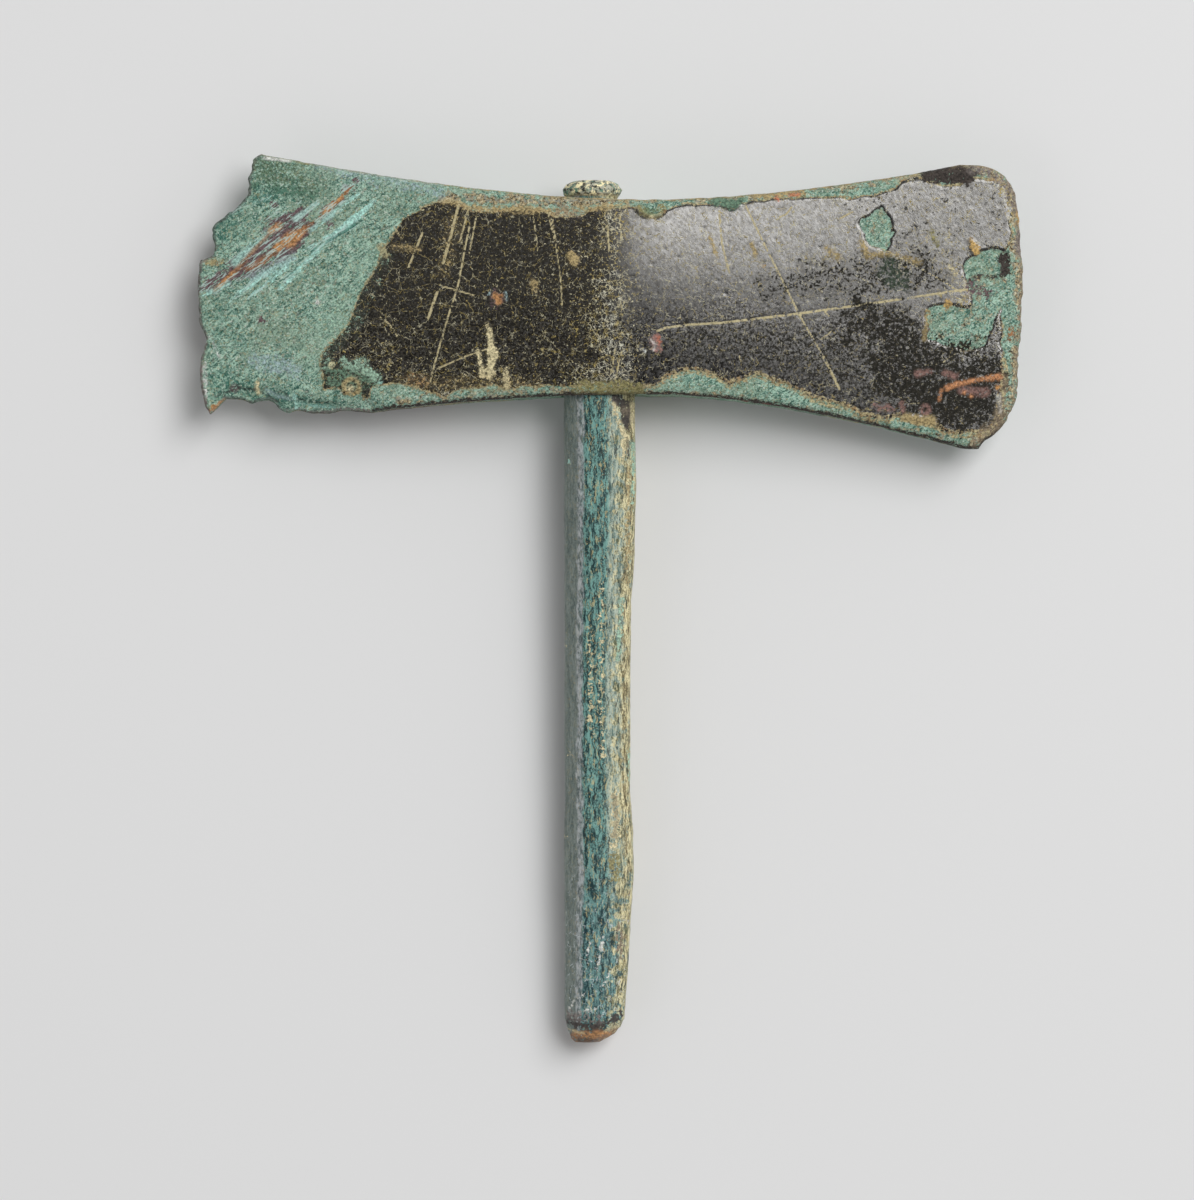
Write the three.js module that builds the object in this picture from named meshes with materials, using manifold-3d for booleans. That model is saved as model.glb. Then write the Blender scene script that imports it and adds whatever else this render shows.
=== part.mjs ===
// A small bronze double axe: a two-bladed head that thins like a wedge towards both edges, and a
// faceted bronze shaft through its eye. The shaft's top end is hammered over into a low knob above
// the head. The left blade has lost its edge to a ragged break, and the shaft's lower end is broken.
//
// Frame, in millimetres: the axe lies on its face, as it does when loose. The origin is on the
// surface it lies on, at the small flat of the head's belly, below the eye. +X runs along the head
// to the whole blade, +Y along the shaft to the knob, and +Z up through the thickness.

import * as THREE from 'three';
import { mergeVertices } from 'three/addons/utils/BufferGeometryUtils.js';
import Module from 'manifold-3d';

const wasm = await Module();
wasm.setup();

// ---- Driving dimensions -------------------------------------------------------------------------

// Thickness of the head, as halves above and below its middle plane.
const RIDGE_X = 1.8;        // the thickest line across the head
const RIDGE_HALF = 6.0;     // half thickness on that line
const RIDGE_SOFTNESS = 3.0; // run over which the two faces round into each other
const EDGE_HALF = 1.0;      // half thickness at the whole blade's edge
const BREAK_HALF = 0.7;     // half thickness at the broken edge
const CROWN = 0.8;          // fall from the middle of a face to its long sides, at the ridge
const BELLY_CUT = 0.3;      // depth of the flat that the head lies on
const MIDDLE_Z = RIDGE_HALF - BELLY_CUT;

// Long sides of the head: a waist that flares towards each edge, y = waist + rise (run / reach)^power.
const TOP_LEFT = { start: 0, waist: 12.0, rise: 5.5, reach: 40, power: 1.5 };
const TOP_RIGHT = { start: 4.8, waist: 11.8, rise: 4.4, reach: 38.4, power: 1.75 };
const BOTTOM_LEFT = { start: 0, waist: 11.6, rise: 3.7, reach: 40, power: 1.75 };
const BOTTOM_RIGHT = { start: 8, waist: 11.5, rise: 6.0, reach: 34, power: 1.55 };

// Whole blade: a shallow arc between two worn corners.
const EDGE_X = 50.8;
const EDGE_MIDDLE_Y = 1.0;
const EDGE_BULGE = 0.8;     // how far the edge falls back over EDGE_HALF_LENGTH
const EDGE_HALF_LENGTH = 11;
const TOP_CORNER = { x: 45.2, y: 11.4, radius: 4.8 };
const BOTTOM_CORNER = { x: 42.0, y: -9.9, radius: 8.2 };
const BOTTOM_SPUR = [[44.4, -17.9], [45.4, -17.9]]; // the small spur left below that corner

// Ragged break of the left blade, from its lower tip up to the top corner.
const BREAK = [
  [-46.8, -13.7], [-47.3, -13.2], [-47.5, -12.0], [-47.8, -10.8], [-48.0, -9.6], [-48.0, -6.8],
  [-47.6, -6.0], [-47.2, -5.0], [-47.5, -4.2], [-47.9, -3.3], [-48.1, -2.4], [-48.2, 0.0],
  [-48.2, 2.4], [-48.1, 4.1], [-47.9, 4.8], [-47.3, 4.9], [-46.4, 5.5], [-46.2, 6.3],
  [-46.4, 7.2], [-46.6, 8.4], [-46.2, 9.1], [-45.4, 9.7], [-44.4, 10.6], [-43.7, 10.9],
  [-42.5, 12.4], [-42.0, 13.6], [-42.2, 14.5], [-41.8, 15.6], [-41.6, 16.8], [-40.6, 17.5],
];

// The chipped stretch of the lower side, from the same tip to the sound part of that side.
const CHIPS = [
  [-46.8, -13.7], [-46.2, -13.3], [-45.4, -12.4], [-44.9, -11.9], [-43.2, -11.9], [-42.5, -12.1],
  [-42.0, -12.5], [-40.6, -12.1], [-39.6, -12.0], [-38.9, -12.5], [-38.4, -13.2], [-37.4, -13.6],
  [-36.8, -13.3], [-36.0, -13.3], [-34.8, -13.6], [-33.6, -13.6], [-32.2, -13.6], [-31.4, -13.3],
  [-30.0, -13.3], [-27.4, -13.5],
];

// Edge rounding: how far in from the outline it starts, and how deep it falls there.
const WORN = { band: 1.2, depth: 1.0 };
const BLADE = { band: 1.6, depth: 0.8 };
const BROKEN = { band: 0.25, depth: 0.2 };
const MOST_OF_THICKNESS = 0.75; // a rounding never takes more of the half thickness than this

// Shaft: its left and right sides, seen from above, and its depth against its width.
const SHAFT_DEPTH_RATIO = 0.9;
const SHAFT_SIDES = [
  // y, left x, right x
  [12.3, -4.2, 2.2], [-12.0, -4.4, 4.2], [-21.6, -4.35, 4.4], [-30.6, -4.3, 4.2],
  [-36.0, -4.3, 3.8], [-48.0, -4.3, 3.7], [-58.8, -4.3, 3.65], [-63.6, -4.3, 4.0],
  [-69.6, -4.3, 4.1], [-74.4, -4.3, 3.7], [-80.4, -4.3, 3.4], [-86.4, -4.3, 3.0],
];
const KNOB = [[12.6, -4.5, 2.6], [13.2, -4.6, 2.8], [13.8, -4.2, 2.4], [14.2, -3.3, 1.5]];
const KNOB_DEPTH_RATIO = 0.95;
const STUMP = [[-87.4, -4.2, 2.6], [-88.1, -3.9, 2.1], [-88.8, -3.6, 1.0], [-89.2, -3.3, 0.2]];
const STUMP_DEPTHS = [6.0, 5.2, 4.0, 2.8];
const SOFT_CORNER = 0.1;    // part of an octagon side that its worn corner takes, at each end
const ROUND_CORNER = 0.29;  // the same on the knob, which is nearly round
const EYE_GAP = 0.3;        // clearance of the shaft in the eye
const EYE_REACH = 20;       // the eye's cutter runs this far to both sides of the head's middle

// Mesh spacing.
const COLUMN_STEP = 3.2;    // along the head, where nothing smaller is needed
const ROUNDING_INSETS = [0.2, 0.5, 0.9, 1.4]; // grid lines that carry the edge rounding
const CLOSEST_LINES = 0.006; // grid lines closer than this part of a side are dropped

// ---- Materials ----------------------------------------------------------------------------------

const patina = new THREE.MeshStandardMaterial({ color: 0x33302a, roughness: 0.45, metalness: 0.3 });
const verdigris = new THREE.MeshStandardMaterial({ color: 0x5d7f72, roughness: 0.7, metalness: 0.2 });

// ---- Head ---------------------------------------------------------------------------------------

function flareAt(flare, x) {
  const run = Math.max(0, Math.abs(x) - flare.start);
  return flare.waist + flare.rise * (run / flare.reach) ** flare.power;
}

function flarePoints(flare, sign, fromX, toX, count) {
  return Array.from({ length: count + 1 }, (_, i) => {
    const x = fromX + (toX - fromX) * (i / count);
    return [x, sign * flareAt(flare, x)];
  });
}

function arcPoints(circle, fromDegrees, toDegrees, count) {
  return Array.from({ length: count + 1 }, (_, i) => {
    const angle = THREE.MathUtils.degToRad(fromDegrees + (toDegrees - fromDegrees) * (i / count));
    return [circle.x + circle.radius * Math.cos(angle), circle.y + circle.radius * Math.sin(angle)];
  });
}

function bladePoints(fromY, toY, count) {
  return Array.from({ length: count + 1 }, (_, i) => {
    const y = fromY + (toY - fromY) * (i / count);
    return [EDGE_X - EDGE_BULGE * ((y - EDGE_MIDDLE_Y) / EDGE_HALF_LENGTH) ** 2, y];
  });
}

// A side of the outline, walked from 0 to 1 by its length. stations are its own points on that walk.
function makeSide(points) {
  const vectors = points.map(([x, y]) => new THREE.Vector2(x, y));
  const path = new THREE.Path(vectors);
  const lengths = path.getCurveLengths();
  const total = lengths[lengths.length - 1];
  return { at: (f) => path.getPoint(f), length: total, stations: lengths.map((l) => l / total) };
}

// The four sides meet on the worn corners and at the ends of the break.
const bottomSide = makeSide([
  ...CHIPS,
  ...flarePoints(BOTTOM_LEFT, -1, -24, 0, 8),
  ...flarePoints(BOTTOM_RIGHT, -1, 4, 43, 14),
  ...BOTTOM_SPUR,
  ...arcPoints(BOTTOM_CORNER, -60, -35, 3),
]);
const topSide = makeSide([
  ...flarePoints(TOP_LEFT, 1, -40.6, 0, 14),
  ...flarePoints(TOP_RIGHT, 1, 4.8, TOP_CORNER.x - 2, 14),
  ...arcPoints(TOP_CORNER, 90, 45, 4),
]);
const breakSide = makeSide(BREAK);
const bladeSide = makeSide([
  ...arcPoints(BOTTOM_CORNER, -35, -4, 4),
  ...bladePoints(-8.0, 10.6, 10),
  ...arcPoints(TOP_CORNER, 6, 45, 4),
]);

// Grid lines over a side: the points that its ragged end needs, the rounding bands and a regular step.
function gridLines(rough, length, bands) {
  const lines = [0, ...rough, 1];
  for (const inset of ROUNDING_INSETS) {
    if (bands.start) lines.push(inset / length);
    if (bands.end) lines.push(1 - inset / length);
  }
  lines.sort((a, b) => a - b);
  const kept = [0];
  for (const line of lines) {
    const last = kept[kept.length - 1];
    if (line - last < CLOSEST_LINES || 1 - line < CLOSEST_LINES / 4) continue;
    const steps = Math.ceil(((line - last) * length) / COLUMN_STEP);
    for (let i = 1; i < steps; i++) kept.push(last + ((line - last) * i) / steps);
    kept.push(line);
  }
  kept.push(1);
  return kept;
}

const chipStations = bottomSide.stations.slice(0, CHIPS.length - 1);
const columns = gridLines(chipStations, bottomSide.length, { start: false, end: true });
const rows = gridLines(breakSide.stations, breakSide.length, { start: true, end: true });

// How much of an end's own shape is left at s, counted from that end, so that it fades inwards.
function endWeight(s) {
  return Math.max(0, 1 - s * 4) ** 2;
}

// A point of the head's plan: straight between the long sides, bent to the shape of both ends.
function planPoint(s, t) {
  const point = bottomSide.at(s).lerp(topSide.at(s), t);
  const bend = (side, corners, weight) => {
    const chord = corners[0].clone().lerp(corners[1], t);
    point.add(side.at(t).sub(chord).multiplyScalar(weight));
  };
  bend(breakSide, [bottomSide.at(0), topSide.at(0)], endWeight(s));
  bend(bladeSide, [bottomSide.at(1), topSide.at(1)], endWeight(1 - s));
  return point;
}

// The outline as a closed loop of points, each with the rounding of its stretch.
const outline = [];
for (const s of columns.slice(0, -1)) {
  const point = planPoint(s, 0);
  const chipped = s < bottomSide.stations[CHIPS.length - 2];
  outline.push({ point, rounding: chipped ? BROKEN : WORN });
}
for (const t of rows.slice(0, -1)) outline.push({ point: planPoint(1, t), rounding: BLADE });
for (const s of columns.slice(1).reverse()) outline.push({ point: planPoint(s, 1), rounding: WORN });
for (const t of rows.slice(1).reverse()) outline.push({ point: planPoint(0, t), rounding: BROKEN });

// Distance from a plan point to the outline, and the rounding of the nearest stretch.
function nearestEdge(point) {
  let best = { distance: Infinity, rounding: WORN };
  const closest = new THREE.Vector3();
  const line = new THREE.Line3();
  const here = new THREE.Vector3(point.x, point.y, 0);
  outline.forEach((corner, i) => {
    const next = outline[(i + 1) % outline.length];
    line.start.set(corner.point.x, corner.point.y, 0);
    line.end.set(next.point.x, next.point.y, 0);
    line.closestPointToPoint(here, true, closest);
    const distance = closest.distanceTo(here);
    if (distance < best.distance) best = { distance, rounding: corner.rounding };
  });
  return best;
}

// Half thickness: a softened ridge, straight wedges to both ends and a slight crown across.
function halfThickness(point) {
  const run = point.x - RIDGE_X;
  const reach = run > 0 ? EDGE_X - RIDGE_X : RIDGE_X - BREAK[11][0];
  const fall = RIDGE_HALF - (run > 0 ? EDGE_HALF : BREAK_HALF);
  const softened = Math.hypot(run, RIDGE_SOFTNESS) - RIDGE_SOFTNESS;
  const half = RIDGE_HALF - (fall * softened) / reach;
  const width = flareAt(run > 0 ? TOP_RIGHT : TOP_LEFT, point.x);
  return half - CROWN * (half / RIDGE_HALF) * (point.y / width) ** 2;
}

// Height of a face above the middle plane, with the rounding towards the outline.
function faceHeight(point) {
  const half = halfThickness(point);
  const { distance, rounding } = nearestEdge(point);
  const depth = Math.min(rounding.depth, MOST_OF_THICKNESS * half);
  const inside = Math.max(0, 1 - distance / rounding.band);
  return half - depth * (1 - Math.sqrt(1 - inside * inside));
}

// Two faces over the same grid, joined by a wall around the outline.
function headGeometry() {
  const positions = [];
  for (const side of [1, -1]) {
    for (const t of rows) {
      for (const s of columns) {
        const point = planPoint(s, t);
        positions.push(point.x, point.y, MIDDLE_Z + side * faceHeight(point));
      }
    }
  }
  const wide = columns.length;
  const tall = rows.length;
  const at = (face, row, column) => (face * tall + row) * wide + column;
  const indices = [];
  const quad = (a, b, c, d) => indices.push(a, b, c, a, c, d);
  for (let row = 0; row < tall - 1; row++) {
    for (let column = 0; column < wide - 1; column++) {
      quad(at(0, row, column), at(0, row, column + 1), at(0, row + 1, column + 1), at(0, row + 1, column));
      quad(at(1, row, column), at(1, row + 1, column), at(1, row + 1, column + 1), at(1, row, column + 1));
    }
  }
  for (let column = 0; column < wide - 1; column++) {
    quad(at(1, 0, column), at(1, 0, column + 1), at(0, 0, column + 1), at(0, 0, column));
    quad(at(0, tall - 1, column), at(0, tall - 1, column + 1),
      at(1, tall - 1, column + 1), at(1, tall - 1, column));
  }
  for (let row = 0; row < tall - 1; row++) {
    quad(at(1, row, wide - 1), at(1, row + 1, wide - 1), at(0, row + 1, wide - 1), at(0, row, wide - 1));
    quad(at(0, row, 0), at(0, row + 1, 0), at(1, row + 1, 0), at(1, row, 0));
  }
  return indexedGeometry(positions, indices);
}

// ---- Shaft --------------------------------------------------------------------------------------

function shaftDepth([, left, right]) {
  return (right - left) * SHAFT_DEPTH_RATIO;
}

// The shaft leans down from the middle of the eye just so far that it touches the surface too.
const LEAN = Math.min(...SHAFT_SIDES.filter(([y]) => y < 0)
  .map((station) => (MIDDLE_Z - shaftDepth(station) / 2) / -station[0]));

// One section: an octagon with a flat on top, whose corners are cut back by a part of each side.
function octagonSection([y, left, right], depth, corner, margin = 0) {
  const centre = new THREE.Vector3((left + right) / 2, y, MIDDLE_Z + LEAN * y);
  const halfWidth = (right - left) / 2 + margin;
  const halfDepth = depth / 2 + margin;
  const spread = 1 / Math.cos(Math.PI / 8); // corner distance of an octagon with flats at 1
  const corners = Array.from({ length: 8 }, (_, i) => {
    const angle = (Math.PI / 8) * (2 * i + 1);
    return new THREE.Vector2(Math.cos(angle), Math.sin(angle)).multiplyScalar(spread);
  });
  return corners.flatMap((here, i) => {
    const before = corners[(i + 7) % 8];
    const after = corners[(i + 1) % 8];
    return [here.clone().lerp(before, corner), here.clone().lerp(after, corner)];
  }).map(({ x, y: up }) => new THREE.Vector3(centre.x + halfWidth * x, y, centre.z + halfDepth * up));
}

// A closed skin over rings of equal length, with a flat cap at both ends.
function loftGeometry(rings) {
  const positions = rings.flat().flatMap((point) => [point.x, point.y, point.z]);
  const count = rings[0].length;
  const indices = [];
  for (let ring = 0; ring < rings.length - 1; ring++) {
    for (let i = 0; i < count; i++) {
      const next = (i + 1) % count;
      const a = ring * count;
      const b = a + count;
      indices.push(a + i, a + next, b + next, a + i, b + next, b + i);
    }
  }
  const last = (rings.length - 1) * count;
  for (let i = 1; i < count - 1; i++) {
    indices.push(0, i + 1, i);
    indices.push(last, last + i, last + i + 1);
  }
  return indexedGeometry(positions, indices);
}

// Stations between two given ones, so that no facet gets very long.
function refineStations(stations, step) {
  return stations.flatMap((station, i) => {
    if (i === stations.length - 1) return [station];
    const next = stations[i + 1];
    const parts = Math.ceil(Math.abs(next[0] - station[0]) / step);
    return Array.from({ length: parts }, (_, k) => station.map((v, j) => v + ((next[j] - v) * k) / parts));
  });
}

function shaftGeometry() {
  const bar = refineStations(SHAFT_SIDES, 5);
  const rings = [
    ...[...KNOB].reverse().map((st) => octagonSection(st, (st[2] - st[1]) * KNOB_DEPTH_RATIO, ROUND_CORNER)),
    ...bar.map((st) => octagonSection(st, shaftDepth(st), SOFT_CORNER)),
    ...STUMP.map((st, i) => octagonSection(st, STUMP_DEPTHS[i], SOFT_CORNER)),
  ];
  return loftGeometry(rings);
}

// The eye: the shaft's own run through the head, larger all round by the gap, and running straight on.
function eyeGeometry() {
  const [top, bottom] = SHAFT_SIDES;
  const station = (y) => top.map((v, j) => v + ((bottom[j] - v) * (y - top[0])) / (bottom[0] - top[0]));
  const rings = [station(EYE_REACH), station(-EYE_REACH)]
    .map((st) => octagonSection(st, shaftDepth(st), SOFT_CORNER, EYE_GAP));
  return loftGeometry(rings);
}

// ---- Assembly -----------------------------------------------------------------------------------

function indexedGeometry(positions, indices) {
  const geometry = new THREE.BufferGeometry();
  geometry.setAttribute('position', new THREE.Float32BufferAttribute(positions, 3));
  geometry.setIndex(indices);
  return geometry;
}

function toManifold(geometry) {
  const bare = geometry.clone();
  bare.deleteAttribute('normal');
  bare.deleteAttribute('uv');
  const merged = mergeVertices(bare, 1e-5);
  return new wasm.Manifold(new wasm.Mesh({
    numProp: 3,
    vertProperties: new Float32Array(merged.attributes.position.array),
    triVerts: new Uint32Array(merged.index.array),
  }));
}

function fromManifold(solid) {
  const mesh = solid.getMesh();
  const geometry = indexedGeometry(mesh.vertProperties, Array.from(mesh.triVerts));
  geometry.computeVertexNormals();
  return geometry;
}

// The belly flat is where everything below the surface that the axe lies on is cut off.
function aboveSurface() {
  const height = 4 * RIDGE_HALF;
  return new THREE.BoxGeometry(4 * EDGE_X, 2 * EDGE_X, height).translate(0, 0, height / 2);
}

function namedMesh(name, geometry, material) {
  const mesh = new THREE.Mesh(geometry, material);
  mesh.name = name;
  return mesh;
}

const headSolid = toManifold(headGeometry())
  .intersect(toManifold(aboveSurface()))
  .subtract(toManifold(eyeGeometry()));

const axe = new THREE.Group();
axe.add(namedMesh('axe_head', fromManifold(headSolid), patina));
axe.add(namedMesh('shaft', fromManifold(toManifold(shaftGeometry())), verdigris));

export default axe;
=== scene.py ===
"""A small bronze double axe lying on its face, seen from straight above.

The head and the shaft are fine meshes over the same forms as the solids they stand for, with the
relief of the corrosion cut into them. Shapes are worked out in millimetres, in the frame's axes.
"""
import math
from functools import partial, reduce

import bpy
import numpy as np
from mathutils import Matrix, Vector
from mathutils.kdtree import KDTree


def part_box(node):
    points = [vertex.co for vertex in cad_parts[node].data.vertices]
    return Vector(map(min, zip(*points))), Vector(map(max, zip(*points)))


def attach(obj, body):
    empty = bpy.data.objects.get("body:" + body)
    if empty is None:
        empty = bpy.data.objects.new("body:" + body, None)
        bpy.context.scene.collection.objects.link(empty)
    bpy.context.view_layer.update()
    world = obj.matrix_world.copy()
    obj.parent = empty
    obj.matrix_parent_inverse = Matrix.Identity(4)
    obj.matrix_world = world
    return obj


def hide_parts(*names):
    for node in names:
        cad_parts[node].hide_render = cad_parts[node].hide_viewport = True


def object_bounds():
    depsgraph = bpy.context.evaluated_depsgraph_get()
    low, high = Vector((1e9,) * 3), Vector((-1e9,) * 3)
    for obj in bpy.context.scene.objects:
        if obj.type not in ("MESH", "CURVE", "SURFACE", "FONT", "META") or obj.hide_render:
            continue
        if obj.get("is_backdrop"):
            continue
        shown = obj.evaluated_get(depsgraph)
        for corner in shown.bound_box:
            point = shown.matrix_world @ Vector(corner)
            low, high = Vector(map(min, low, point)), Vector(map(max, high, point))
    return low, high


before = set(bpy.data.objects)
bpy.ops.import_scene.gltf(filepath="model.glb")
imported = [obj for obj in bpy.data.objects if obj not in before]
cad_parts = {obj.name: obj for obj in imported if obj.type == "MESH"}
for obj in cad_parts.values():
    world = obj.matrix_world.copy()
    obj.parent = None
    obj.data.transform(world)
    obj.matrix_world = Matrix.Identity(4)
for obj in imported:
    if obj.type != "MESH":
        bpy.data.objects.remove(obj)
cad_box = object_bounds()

MM = 0.001  # metres in a millimetre

# ---- Sizes, in mm, taken from the frame where it has them ----------------------------------------

head_low, head_high = (np.array(corner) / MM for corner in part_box("axe_head"))
shaft_low, shaft_high = (np.array(corner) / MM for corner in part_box("shaft"))

RIDGE_X = 1.8                   # the thickest line across the head
RIDGE_HALF = 6.0                # half thickness there
RIDGE_SOFTNESS = 3.0            # run over which the two faces round into each other
EDGE_X = head_high[0]           # the whole blade's edge
BREAK_X = head_low[0]           # the farthest point of the break
EDGE_HALF = 1.0                 # half thickness at the whole blade's edge
BREAK_HALF = 0.7                # half thickness at the break
CROWN = 0.8                     # fall from the middle of a face to its long sides, at the ridge
MIDDLE_Z = head_high[2] - RIDGE_HALF

# Long sides: (start, waist, rise, reach, power), y = waist + rise * (run / reach) ** power.
TOP_LEFT = (0, 12.0, 5.5, 40, 1.5)
TOP_RIGHT = (4.8, 11.8, 4.4, 38.4, 1.75)
BOTTOM_LEFT = (0, 11.6, 3.7, 40, 1.75)
BOTTOM_RIGHT = (8, 11.5, 6.0, 34, 1.55)
EDGE_MIDDLE_Y, EDGE_BULGE, EDGE_HALF_LENGTH = 1.0, 0.8, 11
TOP_CORNER = (45.2, 11.4, 4.8)     # centre x, y and radius
BOTTOM_CORNER = (42.0, -9.9, 8.2)
BOTTOM_SPUR = [(44.4, -17.9), (45.4, -17.9)]

BREAK = [
    (-46.8, -13.7), (-47.3, -13.2), (-47.5, -12.0), (-47.8, -10.8), (-48.0, -9.6), (-48.0, -6.8),
    (-47.6, -6.0), (-47.2, -5.0), (-47.5, -4.2), (-47.9, -3.3), (-48.1, -2.4), (-48.2, 0.0),
    (-48.2, 2.4), (-48.1, 4.1), (-47.9, 4.8), (-47.3, 4.9), (-46.4, 5.5), (-46.2, 6.3),
    (-46.4, 7.2), (-46.6, 8.4), (-46.2, 9.1), (-45.4, 9.7), (-44.4, 10.6), (-43.7, 10.9),
    (-42.5, 12.4), (-42.0, 13.6), (-42.2, 14.5), (-41.8, 15.6), (-41.6, 16.8), (-40.6, 17.5),
]
CHIPS = [
    (-46.8, -13.7), (-46.2, -13.3), (-45.4, -12.4), (-44.9, -11.9), (-43.2, -11.9), (-42.5, -12.1),
    (-42.0, -12.5), (-40.6, -12.1), (-39.6, -12.0), (-38.9, -12.5), (-38.4, -13.2), (-37.4, -13.6),
    (-36.8, -13.3), (-36.0, -13.3), (-34.8, -13.6), (-33.6, -13.6), (-32.2, -13.6), (-31.4, -13.3),
    (-30.0, -13.3), (-27.4, -13.5),
]

# Stretches of the outline, and how their edge is rounded: (band, depth), at most that share of the
# half thickness.
TOP_EDGE, BLADE_EDGE, BREAK_EDGE, BOTTOM_EDGE = range(4)
ROUNDING = np.array([(1.2, 1.0), (1.6, 0.8), (0.25, 0.2), (1.2, 1.0)])
MOST_OF_THICKNESS = 0.75
FAR = 4.0                              # beyond this, the distance to the outline doesn't matter

# Mesh density of the head.
COARSE_COLUMNS, COARSE_ROWS = 150, 45  # cells of the under face
FINER = 3                              # cells of the upper face in each of those, both ways
WALL_ROWS = 14                         # cells down the side wall

# ---- Noise and distances, over points in mm ------------------------------------------------------

TABLE = 4096                           # random values that the noises look up, a power of two
PRIMES = (73856093, 19349663, 83492791)


def lattice_noise(points, size, seed):
    """Smooth noise from -1 to 1 whose features are about that size."""
    table = np.random.RandomState(seed).uniform(-1, 1, TABLE)
    scaled = points / size
    base = np.floor(scaled).astype(np.int64)
    part = scaled - base
    part = part ** 3 * (part * (part * 6 - 15) + 10)
    total = np.zeros(len(points))
    for corner in np.ndindex(*(2,) * points.shape[1]):
        cell = base + np.array(corner)
        weight = np.prod(np.where(corner, part, 1 - part), axis=1)
        key = np.zeros(len(points), np.int64)
        for axis in range(points.shape[1]):
            key ^= cell[:, axis] * PRIMES[axis]
        total += weight * table[key & TABLE - 1]
    return total


def fractal_noise(points, size, octaves, seed):
    """Lattice noise at that size and finer ones, each half as strong."""
    layers = [lattice_noise(points, size / 2 ** i, seed + i) / 2 ** i for i in range(octaves)]
    return sum(layers) / 1.4


def pits(points, spacing, radius, chance, seed):
    """Depth from 0 to 1 of round pits, scattered one to a cell of that spacing."""
    base = np.floor(points / spacing).astype(np.int64)
    random = np.random.RandomState(seed)
    jitter, size, there = random.rand(TABLE, 2), random.uniform(0.4, 1, TABLE), random.rand(TABLE)
    depth = np.zeros(len(points))
    for shift in np.ndindex(3, 3):
        cell = base + np.array(shift) - 1
        key = (cell[:, 0] * PRIMES[0] ^ cell[:, 1] * PRIMES[1]) & TABLE - 1
        gap = np.hypot(*(points - (cell + jitter[key]) * spacing).T) / (radius * size[key])
        depth = np.maximum(depth, np.where(there[key] < chance, np.clip(1 - gap ** 2, 0, 1), 0))
    return depth


def line_distance(points, line, closed=False):
    """Distance from each point to a line of straight stretches, and the nearest stretch's number."""
    line = np.asarray(line, float)
    ends = np.roll(line, -1, axis=0) if closed else line[1:]
    best = np.full(len(points), 1e9)
    nearest = np.zeros(len(points), int)
    for number, (a, b) in enumerate(zip(line, ends)):
        run = b - a
        along = np.clip((points - a) @ run / max(run @ run, 1e-12), 0, 1)
        gap = np.hypot(*(points - a - along[:, None] * run).T)
        closer = gap < best
        best[closer] = gap[closer]
        nearest[closer] = number
    return best, nearest


def region_depth(points, outline):
    """How far inside a closed outline each point is, negative outside."""
    outline = np.asarray(outline, float)
    inside = np.zeros(len(points), bool)
    for (ax, ay), (bx, by) in zip(outline, np.roll(outline, -1, axis=0)):
        crosses = (ay > points[:, 1]) != (by > points[:, 1])
        x_there = ax + (points[:, 1] - ay) * (bx - ax) / (by - ay if by != ay else 1e-12)
        inside ^= crosses & (points[:, 0] < x_there)
    gap, _ = line_distance(points, outline, closed=True)
    return np.where(inside, gap, -gap)


def smoothstep(low, high, value):
    """A soft step from 0 to 1 while a value goes from low to high."""
    part = np.clip((value - low) / (high - low), 0, 1)
    return part * part * (3 - 2 * part)


def srgb(red, green, blue):
    """A linear colour from 8-bit display values."""
    parts = [v / 255 for v in (red, green, blue)]
    return tuple(v / 12.92 if v <= 0.04045 else ((v + 0.055) / 1.055) ** 2.4 for v in parts)


# ---- Head: plan ----------------------------------------------------------------------------------

def flare_at(flare, x):
    """Distance of a long side from the head's middle line."""
    start, waist, rise, reach, power = flare
    return waist + rise * (np.maximum(0, np.abs(x) - start) / reach) ** power


def flare_points(flare, sign, from_x, to_x, count):
    x = np.linspace(from_x, to_x, count + 1)
    return list(zip(x, sign * flare_at(flare, x)))


def arc_points(circle, from_degrees, to_degrees, count):
    x, y, radius = circle
    angle = np.radians(np.linspace(from_degrees, to_degrees, count + 1))
    return list(zip(x + radius * np.cos(angle), y + radius * np.sin(angle)))


def blade_points(from_y, to_y, count):
    y = np.linspace(from_y, to_y, count + 1)
    return list(zip(EDGE_X - EDGE_BULGE * ((y - EDGE_MIDDLE_Y) / EDGE_HALF_LENGTH) ** 2, y))


class Side:
    """One side of the outline, walked from 0 to 1 by its length, with small nicks cut inwards."""

    def __init__(self, points, inward, nicks, seed):
        self.points = np.array(points, float)
        steps = np.hypot(*np.diff(self.points, axis=0).T)
        self.length = steps.sum()
        self.walk = np.concatenate([[0], np.cumsum(steps)]) / self.length
        self.inward, self.nicks, self.seed = inward, nicks, seed

    def smooth(self, f):
        return np.stack([np.interp(f, self.walk, self.points[:, i]) for i in (0, 1)], axis=-1)

    def at(self, f):
        here = self.smooth(f)
        run = self.smooth(np.clip(f + 0.004, 0, 1)) - self.smooth(np.clip(f - 0.004, 0, 1))
        normal = np.stack([-run[:, 1], run[:, 0]], axis=-1) * self.inward
        normal /= np.hypot(*run.T)[:, None]
        depth = sum(
            deep * np.clip(lattice_noise(here, size, self.seed + i) + 0.25, 0, None)
            for i, (deep, size) in enumerate(self.nicks)
        )
        fade = np.clip(np.minimum(f, 1 - f) * self.length / 0.5, 0, 1)
        return here + normal * (depth * fade)[:, None]


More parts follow.
